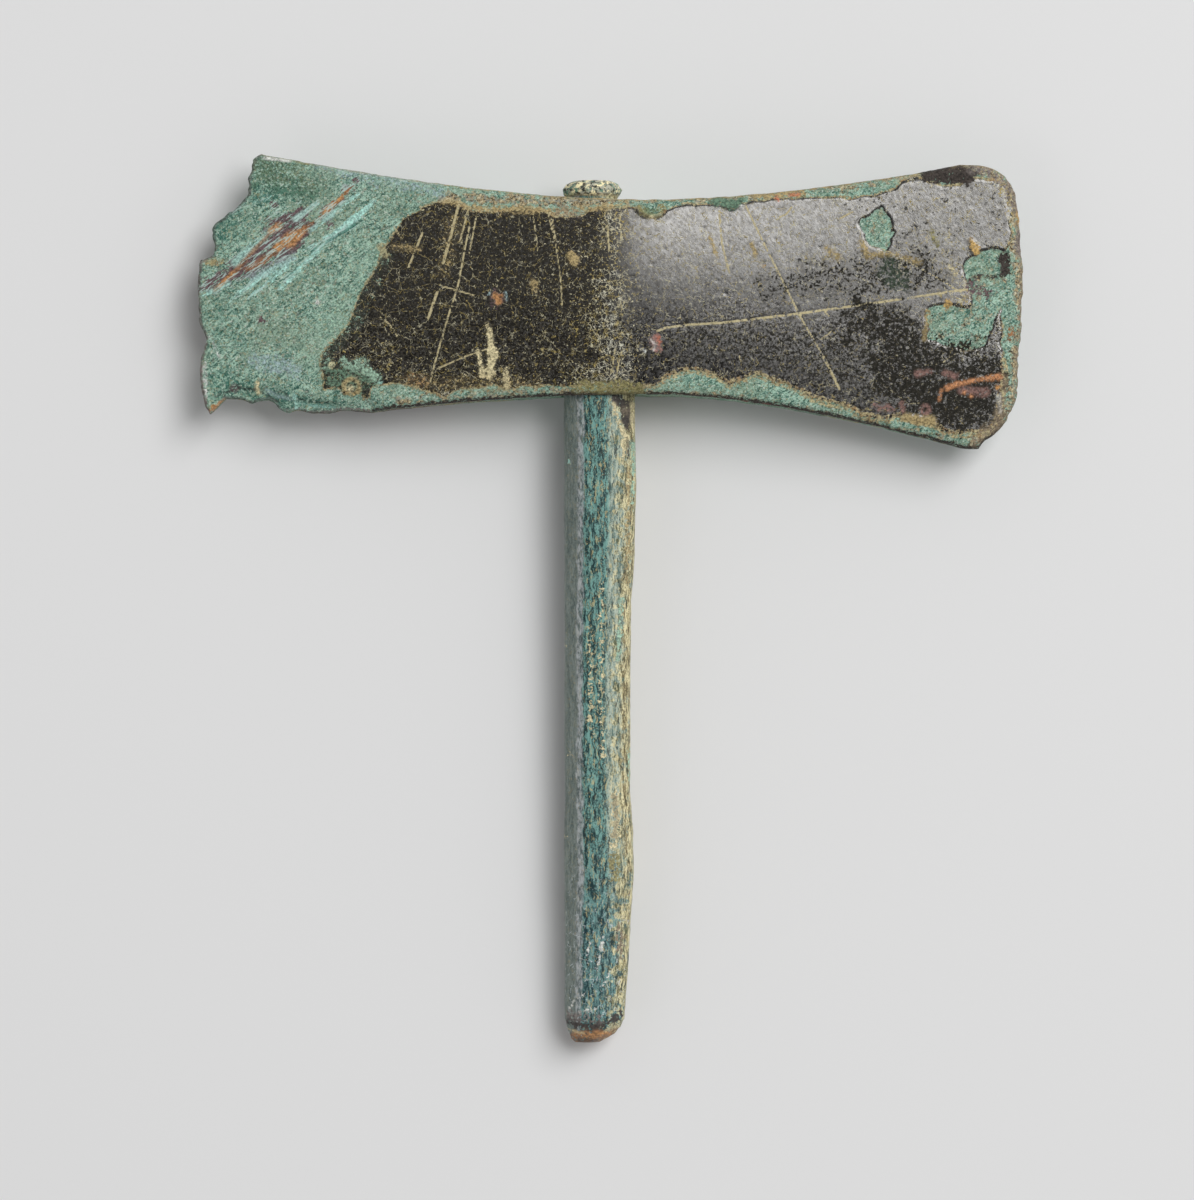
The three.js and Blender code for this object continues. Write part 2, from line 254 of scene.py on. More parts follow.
bottom_side = Side(
    CHIPS + flare_points(BOTTOM_LEFT, -1, -24, 0, 40) + flare_points(BOTTOM_RIGHT, -1, 4, 43, 60)
    + BOTTOM_SPUR + arc_points(BOTTOM_CORNER, -60, -35, 10),
    inward=1, nicks=[(0.06, 1.1), (0.06, 0.45)], seed=11)
top_side = Side(
    flare_points(TOP_LEFT, 1, -40.6, 0, 60) + flare_points(TOP_RIGHT, 1, 4.8, TOP_CORNER[0] - 2, 60)
    + arc_points(TOP_CORNER, 90, 45, 10),
    inward=-1, nicks=[(0.06, 1.3), (0.04, 0.5)], seed=21)
break_side = Side(BREAK, inward=-1, nicks=[(0.14, 0.9), (0.1, 0.4)], seed=31)
blade_side = Side(
    arc_points(BOTTOM_CORNER, -35, -4, 12) + blade_points(-8.0, 10.6, 60)
    + arc_points(TOP_CORNER, 6, 45, 12),
    inward=1, nicks=[(0.22, 1.7), (0.16, 0.6)], seed=41)


def end_weight(s):
    """How far an end's own shape bends the columns: fully at it, and not beyond a quarter of the way."""
    return np.maximum(0, 1 - s * 4) ** 2


def plan_grid(s, t):
    """Points of the plan for all rows t and columns s, bent to the shape of both ends."""
    bottom, top = bottom_side.at(s), top_side.at(s)
    grid = bottom[None] + (top - bottom)[None] * t[:, None, None]
    ends = (break_side, 0, end_weight(s)), (blade_side, -1, end_weight(1 - s))
    for side, column, weight in ends:
        chord = bottom[column] + (top[column] - bottom[column]) * t[:, None]
        grid = grid + (side.at(t) - chord)[:, None] * weight[None, :, None]
    return grid


# ---- Head: thickness -----------------------------------------------------------------------------

def half_thickness(points):
    """Half the head's thickness: a wedge to each end, rounded at the ridge and crowned across."""
    run = points[:, 0] - RIDGE_X
    right = run > 0
    reach = np.where(right, EDGE_X - RIDGE_X, RIDGE_X - BREAK_X)
    fall = RIDGE_HALF - np.where(right, EDGE_HALF, BREAK_HALF)
    softened = np.hypot(run, RIDGE_SOFTNESS) - RIDGE_SOFTNESS
    half = RIDGE_HALF - fall * softened / reach
    width = np.where(right, flare_at(TOP_RIGHT, points[:, 0]), flare_at(TOP_LEFT, points[:, 0]))
    return half - CROWN * (half / RIDGE_HALF) * (points[:, 1] / width) ** 2


def edge_distances(grid):
    """Distance to the outline, at most FAR, and the kind of its nearest stretch."""
    loop = np.concatenate([grid[0, :-1], grid[:-1, -1], grid[-1, :0:-1], grid[:0:-1, 0]])
    rows, columns = grid.shape[:2]
    kinds = np.concatenate([
        np.where(grid[0, :-1, 0] < CHIPS[-1][0], BREAK_EDGE, BOTTOM_EDGE),
        np.full(rows - 1, BLADE_EDGE), np.full(columns - 1, TOP_EDGE), np.full(rows - 1, BREAK_EDGE)])
    loop, kinds = loop[::FINER], kinds[::FINER]
    points = grid.reshape(-1, 2)
    row, column = np.divmod(np.arange(len(points)), columns)
    rows_in = np.minimum(row, rows - 1 - row)
    columns_in = np.minimum(column, columns - 1 - column)
    near = (rows_in < rows // 6) | (columns_in < 8 * FINER)
    distance = np.full(len(points), FAR)
    kind_there = np.zeros(len(points), int)
    gap, nearest = line_distance(points[near], loop, closed=True)
    distance[near] = gap
    kind_there[near] = kinds[nearest]
    distance[(rows_in == 0) | (columns_in == 0)] = 0
    return distance, kind_there


def face_height(points, distance, rounding):
    """Height of a face above the middle plane, with the rounding towards the outline."""
    half = half_thickness(points)
    band, depth = rounding.T
    depth = np.minimum(depth, MOST_OF_THICKNESS * half)
    inside = np.clip(1 - distance / band, 0, 1)
    return half - depth * (1 - np.sqrt(1 - inside ** 2))


# ---- Head: where its surface is black, green, scratched or bare ----------------------------------

FLAKE_DEPTH = 0.12       # the green lies this much lower than the black
CRUST_HEIGHT = 0.04      # and the crust along their border this much higher
LUMP_ALLOWANCE = 0.10    # the black's own depth below the solid's face, which lumps may fill
SCRATCH_DEPTH = 0.01     # scratches are mostly colour
CHIP_BEVEL = 2.4         # how far in the chipped lower edge of the left blade slumps
MOST_OF_HEIGHT = 0.55    # the share of the height above the middle plane that relief may take
BLACK_DARK, BLACK_LIGHT = (0.078, 0.075, 0.070), (0.136, 0.134, 0.130)   # where it is smooth
GRAINY_DARK, GRAINY_LIGHT = (0.020, 0.018, 0.015), (0.200, 0.196, 0.190)  # and where it is worn
PIT_BLACK = (0.014, 0.013, 0.011)
# Colour along each kind of stretch, top side, blade, break and bottom side: dirt on the first three and a
# dark umber line along the bottom side, (colour, width, cover).
EDGE_BANDS = [("tan", 0.3, 0.55), ("drab", 0.6, 0.55), ("ash", 0.45, 0.7), ("umber", 0.5, 0.8)]

# Outline of the black patina on the upper face, from its top left corner round by the left side.
PATINA = [
    (-19.2, 11.6), (-20.0, 11.4), (-21.2, 10.9), (-23.2, 9.7), (-24.1, 8.5), (-25.7, 6.4),
    (-26.2, 4.9), (-26.9, 2.9), (-28.1, 1.7), (-28.6, 0.5), (-29.3, -1.0), (-30.1, -3.0),
    (-31.2, -4.1), (-32.6, -6.0), (-33.2, -6.8), (-33.4, -8.0), (-33.1, -10.9), (-31.2, -10.6),
    (-30.6, -11.5), (-28.6, -11.0), (-28.1, -11.9), (-27.5, -11.8), (-27.4, -10.8), (-26.4, -10.3),
    (-24.0, -10.2), (-21.0, -10.9), (-19.1, -11.6), (-16.4, -10.8), (-12.6, -10.4), (-11.4, -10.8),
    (-7.2, -10.4), (-3.0, -10.7), (0.0, -10.0), (1.8, -10.6), (4.8, -10.6), (6.6, -10.3),
    (8.6, -9.1), (10.6, -8.6), (11.6, -8.5), (14.2, -9.6), (15.4, -10.4), (17.0, -9.6),
    (18.6, -8.9), (21.6, -10.0), (23.6, -10.8), (25.2, -11.9), (28.8, -12.7), (31.8, -14.0),
    (34.2, -14.5), (36.0, -14.0), (39.6, -15.0), (42.0, -16.0), (45.6, -16.1), (46.8, -15.7),
    (47.8, -13.8), (48.0, -11.4), (48.5, -9.0), (48.2, -7.2), (48.1, -3.6), (48.3, 0.0),
    (48.6, 5.8), (49.2, 6.6), (49.4, 7.8), (49.2, 9.0), (49.4, 10.2), (49.0, 12.6),
    (48.4, 13.7), (47.4, 14.4), (45.0, 14.6), (43.2, 13.9), (41.0, 13.6), (39.6, 13.9),
    (38.0, 14.8), (36.2, 14.3), (35.4, 13.3), (32.4, 12.4), (30.0, 12.1), (26.4, 12.2),
    (20.4, 11.9), (17.4, 11.5), (15.4, 11.2), (12.0, 11.3), (9.0, 10.9), (7.8, 10.4),
    (7.4, 9.7), (6.6, 9.5), (5.8, 9.7), (4.6, 10.8), (3.0, 10.9), (0.0, 10.6),
    (-2.4, 9.8), (-5.4, 9.8), (-8.4, 10.8), (-12.0, 10.3), (-15.8, 10.7), (-16.8, 11.5),
]

# Places inside it where the black has flaked off down to the green.
FLAKES = [
    [(30.8, 9.0), (31.2, 9.6), (32.2, 9.8), (32.9, 10.4), (33.6, 10.9), (34.2, 10.3), (34.8, 9.6),
     (35.0, 9.0), (34.8, 8.2), (35.2, 7.9), (34.7, 7.2), (34.6, 6.4), (34.1, 5.8), (33.4, 6.0),
     (32.4, 6.2), (31.8, 6.8), (31.7, 7.7), (31.2, 8.4)],
    [(43.8, 4.6), (45.0, 5.2), (45.6, 5.8), (47.6, 6.0), (49.2, 5.4), (49.4, 2.0), (48.9, 0.0),
     (47.8, -1.0), (47.2, -2.6), (46.4, -4.2), (46.2, -5.2), (45.6, -5.8), (43.8, -6.2),
     (41.4, -5.6), (39.6, -5.0), (39.0, -4.6), (39.5, -3.6), (39.1, -2.4), (39.2, -1.2),
     (41.4, -0.7), (44.2, -1.2), (44.6, -0.6), (44.4, 1.0), (43.8, 2.4), (43.4, 3.8)],
]

# Scratches through the black down to tan dirt: (width, strength, points).
SCRATCHES = [
    (0.27, 1.0, [(6.8, -4.0), (7.8, -3.6), (10.8, -3.2), (14.4, -3.0), (24.0, -1.8), (33.6, -0.4),
                 (44.0, 1.2)]),
    (0.24, 1.0, [(17.3, 11.2), (19.2, 7.2), (21.6, 2.4), (24.0, -2.4), (26.6, -6.8)]),
    (0.31, 1.0, [(26.6, -6.8), (28.6, -10.8)]),
    (0.23, 0.6, [(14.2, 10.4), (14.5, 6.6), (15.4, 3.0)]),
    (0.21, 0.8, [(33.6, 6.0), (36.6, 4.6), (40.2, 2.6), (43.2, 0.8)]),
    (0.23, 1.0, [(-15.5, 9.0), (-16.1, 6.0), (-17.0, 1.2), (-18.0, -1.8), (-19.4, -6.6), (-20.4, -10.4)]),
    (0.34, 1.0, [(-16.8, 11.4), (-17.7, 7.8), (-18.7, 4.2)]),
    (0.23, 0.8, [(-15.7, 10.6), (-16.7, 6.8)]),
    (0.22, 0.7, [(-14.8, 9.6), (-15.6, 5.4)]),
    (0.20, 0.9, [(-8.1, 10.9), (-7.4, 5.6)]),
    (0.20, 0.8, [(-6.3, 10.4), (-5.3, 6.4), (-4.7, 2.4), (-4.5, -1.2)]),
    (0.17, 0.7, [(-5.8, 10.4), (-5.2, 6.4)]),
    (0.27, 1.0, [(-21.2, 7.8), (-22.9, 3.6)]),
    (0.23, 0.9, [(-18.8, 1.4), (-17.0, 0.9), (-15.0, 0.3)]),
    (0.19, 0.8, [(-19.4, -8.4), (-16.2, -7.0), (-13.2, -6.0)]),
    (0.23, 0.9, [(-26.2, -2.2), (-25.2, -3.0), (-24.0, -4.8)]),
    (0.33, 0.9, [(-19.4, 0.8), (-20.5, -2.4)]),
    (0.22, 0.8, [(-24.6, 8.6), (-23.6, 7.0)]),
    (0.19, 0.8, [(1.9, -5.8), (1.2, -9.4)]),
    (0.19, 0.8, [(2.6, -6.4), (1.8, -9.8)]),
    (0.23, 0.7, [(0.8, 9.2), (1.1, 5.6)]),
    (0.19, 0.7, [(2.4, 10.8), (2.5, 6.8)]),
    (0.20, 0.8, [(21.4, 9.7), (22.2, 10.0), (22.9, 10.9)]),
    (0.20, 0.8, [(28.6, 9.5), (30.2, 10.4)]),
    (0.19, 0.8, [(26.4, -1.2), (27.4, -2.2)]),
    (0.19, 0.7, [(26.4, -4.9), (27.8, -3.8)]),
    (0.19, 0.8, [(16.6, -6.8), (16.8, -7.8)]),
    (0.16, 0.7, [(38.6, -8.0), (41.0, -7.6), (42.6, -6.4)]),
    (0.16, 0.6, [(33.8, -10.2), (37.0, -12.6), (39.2, -12.2)]),
]

# Colours of corrosion, dirt and bare metal, as 8-bit display values.
PAINTS = {
    "tan": (168, 150, 108), "sand": (208, 196, 156), "ochre": (190, 158, 100), "olive": (140, 134, 92),
    "chalk": (206, 208, 202), "frost": (150, 172, 172), "ash": (126, 118, 114), "drab": (138, 124, 104),
    "umber": (64, 58, 54), "soot": (38, 36, 30), "plum": (104, 86, 88), "rose": (150, 116, 108),
    "brick": (180, 104, 80), "copper": (190, 140, 88), "ember": (226, 160, 112), "rust": (150, 108, 74),
    "teal": (66, 112, 98), "aqua": (164, 208, 196), "mint": (156, 186, 164), "moss": (98, 124, 104),
}


def ring(x, y, radius, width, count=12):
    """Points of a closed ring for a mark."""
    turns = [2 * math.pi * i / count for i in range(count + 1)]
    return [(x + radius * math.cos(a), y + radius * math.sin(a), width) for a in turns]


# Marks on the upper face, laid one over the other: (colour, cover, lines of points with a radius each).
MARKS = [
    # Border below the ridge.
    ("olive", 0.70, [(-2.6, -10.8, 0.5), (0.8, -10.5, 0.8), (4.6, -11.0, 0.7)]),
    # Spots and blotches on the black left of the ridge.
    ("tan", 0.85, [(-3.2, 4.6, 0.75)]),
    ("tan", 0.75, [(-8.0, 1.7, 0.45), (-7.7, 0.9, 0.35)]),
    ("plum", 0.60, [(-12.4, -0.1, 1.0)]),
    ("copper", 0.75, [(-12.5, 0.2, 0.4), (-12.1, -0.5, 0.4)], [(-11.7, 0.3, 0.2)]),
    ("frost", 0.80, [(-13.3, 0.4, 0.16), (-13.0, 0.8, 0.12)], [(-11.3, 0.7, 0.16), (-11.0, -0.3, 0.12)]),
    ("sand", 0.90, [(-13.4, -3.5, 0.2), (-13.0, -5.2, 0.35), (-12.7, -6.8, 0.5), (-13.1, -9.4, 0.3)]),
    ("sand", 0.75, [(-14.5, -6.4, 0.25), (-14.0, -9.2, 0.3)]),
    ("sand", 0.90, [(-11.3, -8.8, 0.45), (-11.0, -10.6, 0.35)]),
    ("tan", 0.75, [(-26.1, 6.2, 0.45), (-25.7, 5.2, 0.35)]),
    ("tan", 0.22, [(-17.3, 9.0, 1.0), (-18.6, 3.0, 0.8)]),
    ("tan", 0.50, [(-24.6, 6.2, 0.5), (-21.4, 5.8, 0.3)]),
    ("rust", 0.25, [(-22.6, -9.5, 0.7), (-20.8, -10.0, 0.6)]),
    ("tan", 0.25, [(-24.0, -9.8, 0.8), (-16.0, -10.2, 0.9), (-8.0, -10.2, 0.8)]),
    # Rings and flecks in the lower left corner of the black.
    ("moss", 0.60, [(-31.4, -9.0, 1.6), (-28.0, -9.8, 1.2)]),
    ("mint", 0.60, [(-30.8, -7.6, 0.5), (-28.6, -8.0, 0.8), (-26.6, -9.4, 0.6)]),
    ("tan", 0.80, ring(-29.7, -10.5, 0.95, 0.22)),
    ("sand", 0.75, [(-29.8, -10.7, 0.35)]),
    ("sand", 0.80, ring(-32.0, -7.9, 0.3, 0.12)),
    ("aqua", 0.90, [(-26.2, -10.0, 0.2)]),
    # Top border.
    ("tan", 0.60, [(-19.0, 11.6, 0.3), (-15.4, 10.9, 0.4), (-10.0, 10.5, 0.5), (-4.0, 10.3, 0.5),
                   (3.0, 11.1, 0.3)]),
    ("ash", 0.30, [(-4.6, 10.3, 0.7), (-2.4, 9.9, 0.6)]),
    ("olive", 0.70, [(5.2, 10.6, 0.7), (6.3, 10.0, 0.5), (7.4, 10.7, 0.55)]),
    ("sand", 0.60, [(6.0, 9.6, 0.16), (7.2, 10.0, 0.14)]),
    ("teal", 0.45, [(5.6, 10.6, 0.4), (6.6, 10.3, 0.45)]),
    ("umber", 0.45, [(4.8, 10.1, 0.14), (6.2, 9.4, 0.14), (7.8, 10.1, 0.14)]),
    ("moss", 0.95, [(13.7, 11.6, 0.5), (15.6, 11.2, 0.65), (17.0, 11.8, 0.4)]),
    ("tan", 0.70, [(18.6, 12.1, 0.3), (24.4, 12.6, 0.35)]),
    ("brick", 0.80, [(21.0, 12.1, 0.2), (21.4, 11.6, 0.15)]),
    ("brick", 0.70, [(22.6, 12.3, 0.2), (23.8, 12.5, 0.15)]),
    # Dull dark places and stains on the glossy black.
    ("soot", 0.40, [(20.0, 0.6, 1.4), (25.0, 2.4, 2.0), (31.0, 3.0, 2.4), (36.0, 3.2, 2.2),
                    (40.6, 2.6, 1.6)]),
    ("soot", 0.25, [(36.6, 7.0, 1.8), (38.4, 4.6, 1.6)]),
    ("soot", 0.68, [(30.0, -2.4, 2.0), (35.0, -4.4, 3.4), (37.0, -9.0, 4.4), (44.0, -10.6, 4.4)]),
    ("soot", 0.35, [(12.0, -5.0, 2.4), (24.0, -6.0, 3.0), (30.0, -8.0, 3.0)]),
    ("soot", 0.50, [(38.0, -12.0, 1.6), (44.0, -13.4, 2.0)]),
    ("tan", 0.80, [(18.1, 6.5, 0.25), (18.5, 5.2, 0.3)]),
    ("tan", 0.60, [(13.1, 7.2, 0.2), (14.0, 4.8, 0.2)]),
    ("tan", 0.45, [(27.0, 6.0, 0.5), (28.4, 4.9, 0.5)]),
    ("ochre", 0.80, [(19.5, 3.8, 0.2)]),
    ("tan", 0.60, [(31.2, 6.8, 0.5), (32.0, 5.2, 0.4), (35.2, 5.4, 0.3), (38.0, 4.4, 0.3)]),
    ("soot", 0.30, [(34.2, 4.2, 1.2), (36.0, 1.8, 1.2)]),
    ("moss", 0.14, [(34.4, 4.0, 1.1), (35.8, 2.0, 1.2)]),
    ("olive", 0.60, [(39.6, 8.0, 0.35), (40.4, 6.6, 0.3)]),
    ("sand", 0.60, [(41.8, 3.8, 0.3), (42.6, 3.2, 0.25)]),
    ("rose", 0.60, [(6.4, -4.8, 0.6), (6.8, -6.1, 0.5)]),
    ("brick", 0.60, [(6.9, -4.5, 0.2), (7.1, -5.4, 0.15)]),
    ("chalk", 0.55, [(6.0, -5.0, 0.12), (6.6, -5.6, 0.12), (6.3, -6.4, 0.1)]),
    ("chalk", 0.60, [(5.0, -6.1, 0.14), (5.4, -6.4, 0.1)]),
    # Rosy and coppery patches towards the lower right corner.
    ("rose", 0.55, [(38.0, -8.9, 0.35), (39.5, -8.7, 0.3)]),
    ("rose", 0.60, [(41.2, -8.8, 0.3), (42.5, -9.2, 0.35)]),
    ("rose", 0.55, [(43.2, -10.9, 0.4), (46.2, -11.0, 0.5)]),
    ("rose", 0.50, [(33.0, -12.8, 0.5), (34.8, -13.3, 0.55)]),
    ("rose", 0.55, [(36.1, -12.5, 0.3), (36.2, -13.4, 0.25)]),
    ("rose", 0.60, ring(38.9, -13.2, 0.5, 0.22)),
    ("ember", 0.60, [(41.6, -10.6, 0.28), (43.0, -10.1, 0.24), (45.0, -9.7, 0.2), (48.0, -9.3, 0.28)],
     [(40.8, -10.9, 0.14), (40.6, -12.0, 0.24)]),
    ("ember", 0.90, [(43.6, -11.2, 0.2)], [(44.4, -11.6, 0.2)]),
    ("copper", 0.80, [(47.6, -10.6, 0.35)]),
    ("tan", 0.90, [(36.6, -14.3, 0.5), (39.6, -14.7, 0.6)]),
    # Red specks on the lower edge.
    ("brick", 0.80, [(16.2, -12.3, 0.14), (17.5, -12.5, 0.14)], [(19.4, -12.7, 0.14), (21.0, -13.0, 0.14)],
     [(23.6, -13.6, 0.16), (26.4, -14.4, 0.16)]),
    # Right end.
    ("umber", 1.00, [(39.2, 14.9, 0.7), (41.6, 15.0, 1.3), (43.6, 14.9, 1.0), (45.2, 14.9, 0.5)]),
    ("ash", 0.45, [(44.6, 15.6, 0.6), (46.4, 15.4, 0.6), (48.6, 13.6, 0.7), (49.8, 11.0, 0.7)]),
    ("ochre", 0.65, [(50.2, 10.4, 0.3), (50.2, 9.2, 0.2)]),
    ("ash", 0.60, [(50.2, 8.0, 0.5), (50.2, 5.6, 0.5)]),
    ("umber", 0.95, [(48.4, 5.0, 0.8), (48.6, 3.6, 0.6)]),
    ("umber", 0.65, [(44.0, 2.3, 0.16), (45.6, 2.9, 0.24), (47.0, 2.6, 0.2), (48.4, 3.1, 0.35)]),
    ("plum", 0.55, [(44.6, 1.4, 0.8), (46.4, 0.6, 0.8)]),
    ("ochre", 0.90, [(44.4, 7.0, 0.3), (45.0, 5.6, 0.45)]),
    ("ochre", 0.80, [(41.7, -0.6, 0.5)]),
    ("tan", 0.50, [(39.2, -1.4, 0.3), (38.8, -4.8, 0.3)]),
    ("chalk", 0.70, [(47.8, -11.6, 0.3), (48.0, -13.4, 0.2)]),
    ("rust", 0.55, [(49.3, -3.6, 0.4), (49.2, -5.0, 0.3)]),
    ("drab", 0.55, [(48.6, -9.6, 0.3), (47.8, -15.0, 0.7), (44.8, -16.8, 0.7)]),
    # Greens of the left blade.
    ("teal", 0.22, [(-46.0, -4.0, 2.6), (-45.6, 8.0, 3.0), (-40.0, 14.6, 3.0)]),
    ("mint", 0.28, [(-34.6, -7.6, 1.6), (-31.0, -1.0, 2.4), (-28.0, 5.6, 2.0)]),
    ("teal", 0.30, [(-41.4, 15.4, 2.2), (-37.0, 14.6, 2.4), (-33.0, 13.2, 1.6)]),
    ("olive", 0.16, [(-40.0, 15.2, 2.0), (-36.6, 14.4, 2.2), (-35.0, 13.0, 1.6)]),
    ("teal", 0.40, [(-40.4, 12.4, 1.2), (-37.0, 12.6, 1.4), (-34.4, 12.0, 1.0)]),
    ("frost", 0.40, [(-33.0, 15.9, 0.9), (-28.0, 14.8, 1.2), (-24.0, 13.9, 1.1), (-19.5, 12.9, 0.8)]),
    # Painted highlights: two white glints on the rounded top edge of the left blade.
    ("chalk", 0.95, [(-40.3, 17.0, 0.16), (-37.2, 16.6, 0.16)]),
    ("plum", 0.75, [(-40.6, -2.4, 0.6)]),
    ("chalk", 0.80, [(-33.8, -0.4, 0.3)]),
    ("frost", 0.50, [(-41.4, -7.2, 0.9), (-39.0, -7.8, 1.1), (-36.4, -8.6, 0.9)]),
    # Darker teal along the chipped lower edge where it slumps away: partly the green's own darker tone,
    # partly painted shade of the bevel that tilts away from the light.
    ("teal", 0.45, [(-45.4, -9.8, 1.6), (-41.6, -11.2, 1.4), (-37.6, -12.2, 1.0), (-32.0, -12.6, 0.7)]),
    ("frost", 0.60, [(-40.0, -10.9, 0.2), (-38.6, -11.6, 0.2), (-37.0, -11.9, 0.2)]),
    ("umber", 0.60, [(-45.8, -11.4, 0.1), (-43.0, -10.6, 0.14), (-40.8, -10.9, 0.12), (-38.6, -12.2, 0.1)]),
    ("umber", 0.50, [(-38.2, -10.9, 0.1), (-37.2, -11.7, 0.12), (-34.4, -12.2, 0.1), (-31.2, -12.4, 0.1)]),
    ("aqua", 0.45, [(-36.8, -12.2, 0.14), (-34.2, -12.8, 0.16), (-31.8, -12.9, 0.12)]),
    ("teal", 0.30, [(-45.6, 8.6, 1.6), (-44.0, 12.0, 1.4)]),
    ("plum", 0.60, [(-43.8, -10.6, 0.5)]),
    ("sand", 0.75, [(-41.0, -10.0, 0.25), (-40.9, -11.2, 0.2)]),
    ("aqua", 0.85, [(-36.6, -11.4, 0.2), (-36.4, -13.0, 0.22)]),
    ("chalk", 0.80, [(-46.9, -4.3, 0.2), (-46.2, -5.5, 0.16), (-45.6, -7.0, 0.14)]),
    ("chalk", 0.65, [(-47.4, -7.6, 0.2), (-47.2, -11.4, 0.2)]),
    ("copper", 0.65, [(-46.6, -13.1, 0.35), (-45.0, -12.3, 0.25)]),
    ("tan", 0.50, [(-47.2, 4.4, 0.4), (-45.6, 4.6, 0.4)]),
]

# Where fine dirt lies thicker, on the black and along the borders: (amount, lines as above).
DUST = [
    (0.40, [(1.4, 11.0, 1.2), (1.4, 3.0, 1.9), (1.2, -3.0, 3.0), (0.6, -9.5, 3.2)]),
    (0.14, [(-1.5, 8.0, 3.0), (-1.0, 0.0, 4.0), (-0.5, -8.0, 5.0)]),
    (0.10, [(-18.0, 9.0, 1.6), (-19.0, 1.0, 1.6)]),
    (0.14, [(-29.0, -8.0, 3.0), (-22.0, -9.6, 1.6), (-8.0, -9.8, 1.4)]),
    (0.12, [(26.0, 5.0, 1.4), (36.0, 4.0, 1.6)]),
    (0.14, [(41.5, 3.5, 1.4)]),
    (0.30, [(43.0, -3.0, 3.0), (47.0, 3.0, 2.2)]),
    (0.20, [(33.2, 8.2, 2.0)]),
    (0.80, [(42.0, 16.0, 0.8), (46.6, 15.4, 0.8), (49.2, 12.6, 0.9), (50.3, 8.6, 0.8), (50.0, 5.6, 0.9)]),
    (0.60, [(50.2, 5.0, 0.8), (50.2, -2.0, 0.6), (49.6, -10.0, 0.5), (48.4, -15.0, 0.8), (44.6, -17.4, 0.8)]),
    (0.65, [(-18.0, 12.2, 0.6), (-8.0, 11.6, 0.8), (3.0, 11.7, 0.7), (9.0, 11.8, 0.6), (20.0, 12.3, 0.5)]),
    (0.45, [(20.0, 12.6, 0.5), (30.0, 13.4, 0.6), (38.0, 15.0, 0.6)],
     [(-24.0, -12.0, 0.7), (-8.0, -11.2, 0.6), (4.0, -11.3, 0.7), (10.0, -11.5, 0.5), (15.6, -11.6, 0.8)]),
    (0.40, [(15.6, -11.8, 0.6), (24.0, -13.2, 0.6), (32.0, -14.8, 0.6), (42.0, -17.0, 0.6)]),
]

# Marks drawn out along the band of streaks that crosses the left blade.
STREAK_SLOPE = math.radians(36)
STREAKS = [
    # Grey-violet ground of the band.
    ("plum", 0.80,
     [(-48.2, 1.2, 0.6), (-44.4, 2.8, 0.9), (-41.0, 4.8, 1.5), (-38.2, 7.6, 1.7), (-35.4, 10.4, 0.8)],
     [(-37.8, 6.0, 1.3), (-34.0, 9.2, 0.7), (-32.2, 11.0, 0.5), (-29.4, 13.8, 0.35)]),
    ("plum", 0.55, [(-38.9, 11.2, 0.7)]),
    ("plum", 0.65, [(-32.4, 8.9, 0.55)]),
    ("plum", 0.50, [(-29.2, 14.2, 0.5)]),
    # Pale crust in thin lines.
    ("aqua", 0.65, [(-43.6, 4.4, 0.4), (-41.4, 6.6, 0.45), (-39.4, 8.2, 0.3)]),
    ("aqua", 0.60, [(-36.4, 9.6, 0.3), (-33.8, 11.6, 0.3)]),
    ("aqua", 0.60, [(-34.6, 8.2, 0.3), (-31.4, 10.6, 0.3), (-28.9, 12.6, 0.25)]),
    ("aqua", 0.70, [(-38.4, 1.1, 0.25), (-34.4, 5.2, 0.35), (-31.8, 7.7, 0.35), (-28.2, 10.4, 0.3)]),
    ("aqua", 0.65, [(-35.4, 5.8, 0.25), (-30.6, 8.7, 0.3), (-27.0, 11.6, 0.25)]),
    ("aqua", 0.75, [(-47.6, 0.4, 0.25), (-44.6, 2.0, 0.3)]),
    ("aqua", 0.62, [(-44.4, -0.2, 0.3), (-40.2, 3.0, 0.4), (-36.6, 4.6, 0.35)]),
    ("aqua", 0.60, [(-42.2, 0.0, 0.25), (-37.4, 3.9, 0.3)]),
    ("frost", 0.35, [(-42.0, 2.6, 0.5), (-36.6, 5.0, 0.6)]),
    ("aqua", 0.30, [(-44.2, 10.4, 0.3), (-39.6, 12.4, 0.35)]),
    ("teal", 0.55, [(-38.6, 1.7, 0.2), (-34.4, 5.8, 0.2), (-29.0, 9.0, 0.2)]),
    # Threads and grains of bare copper.
    ("rust", 0.70, [(-46.2, 1.2, 0.2), (-43.4, 3.7, 0.25), (-41.4, 6.0, 0.2), (-39.2, 8.3, 0.2)]),
    ("copper", 0.70, [(-45.6, 1.6, 0.15), (-44.0, 3.2, 0.22)]),
    ("rust", 0.80, [(-42.2, 3.7, 0.35), (-40.4, 4.6, 0.5), (-38.6, 6.0, 0.45)]),
    ("copper", 0.85, [(-38.6, 6.2, 0.3), (-36.9, 7.2, 0.72), (-35.4, 8.4, 0.3)]),
    ("copper", 0.65, [(-39.4, 8.2, 0.3), (-38.5, 8.7, 0.35)]),
    ("rust", 0.80, [(-35.4, 8.4, 0.2), (-33.2, 10.1, 0.2)]),
    ("copper", 0.80, [(-33.0, 10.4, 0.25), (-31.6, 11.6, 0.3), (-30.3, 12.8, 0.2)]),
    ("rust", 0.70, [(-30.3, 12.8, 0.2), (-29.4, 13.8, 0.15)]),
]

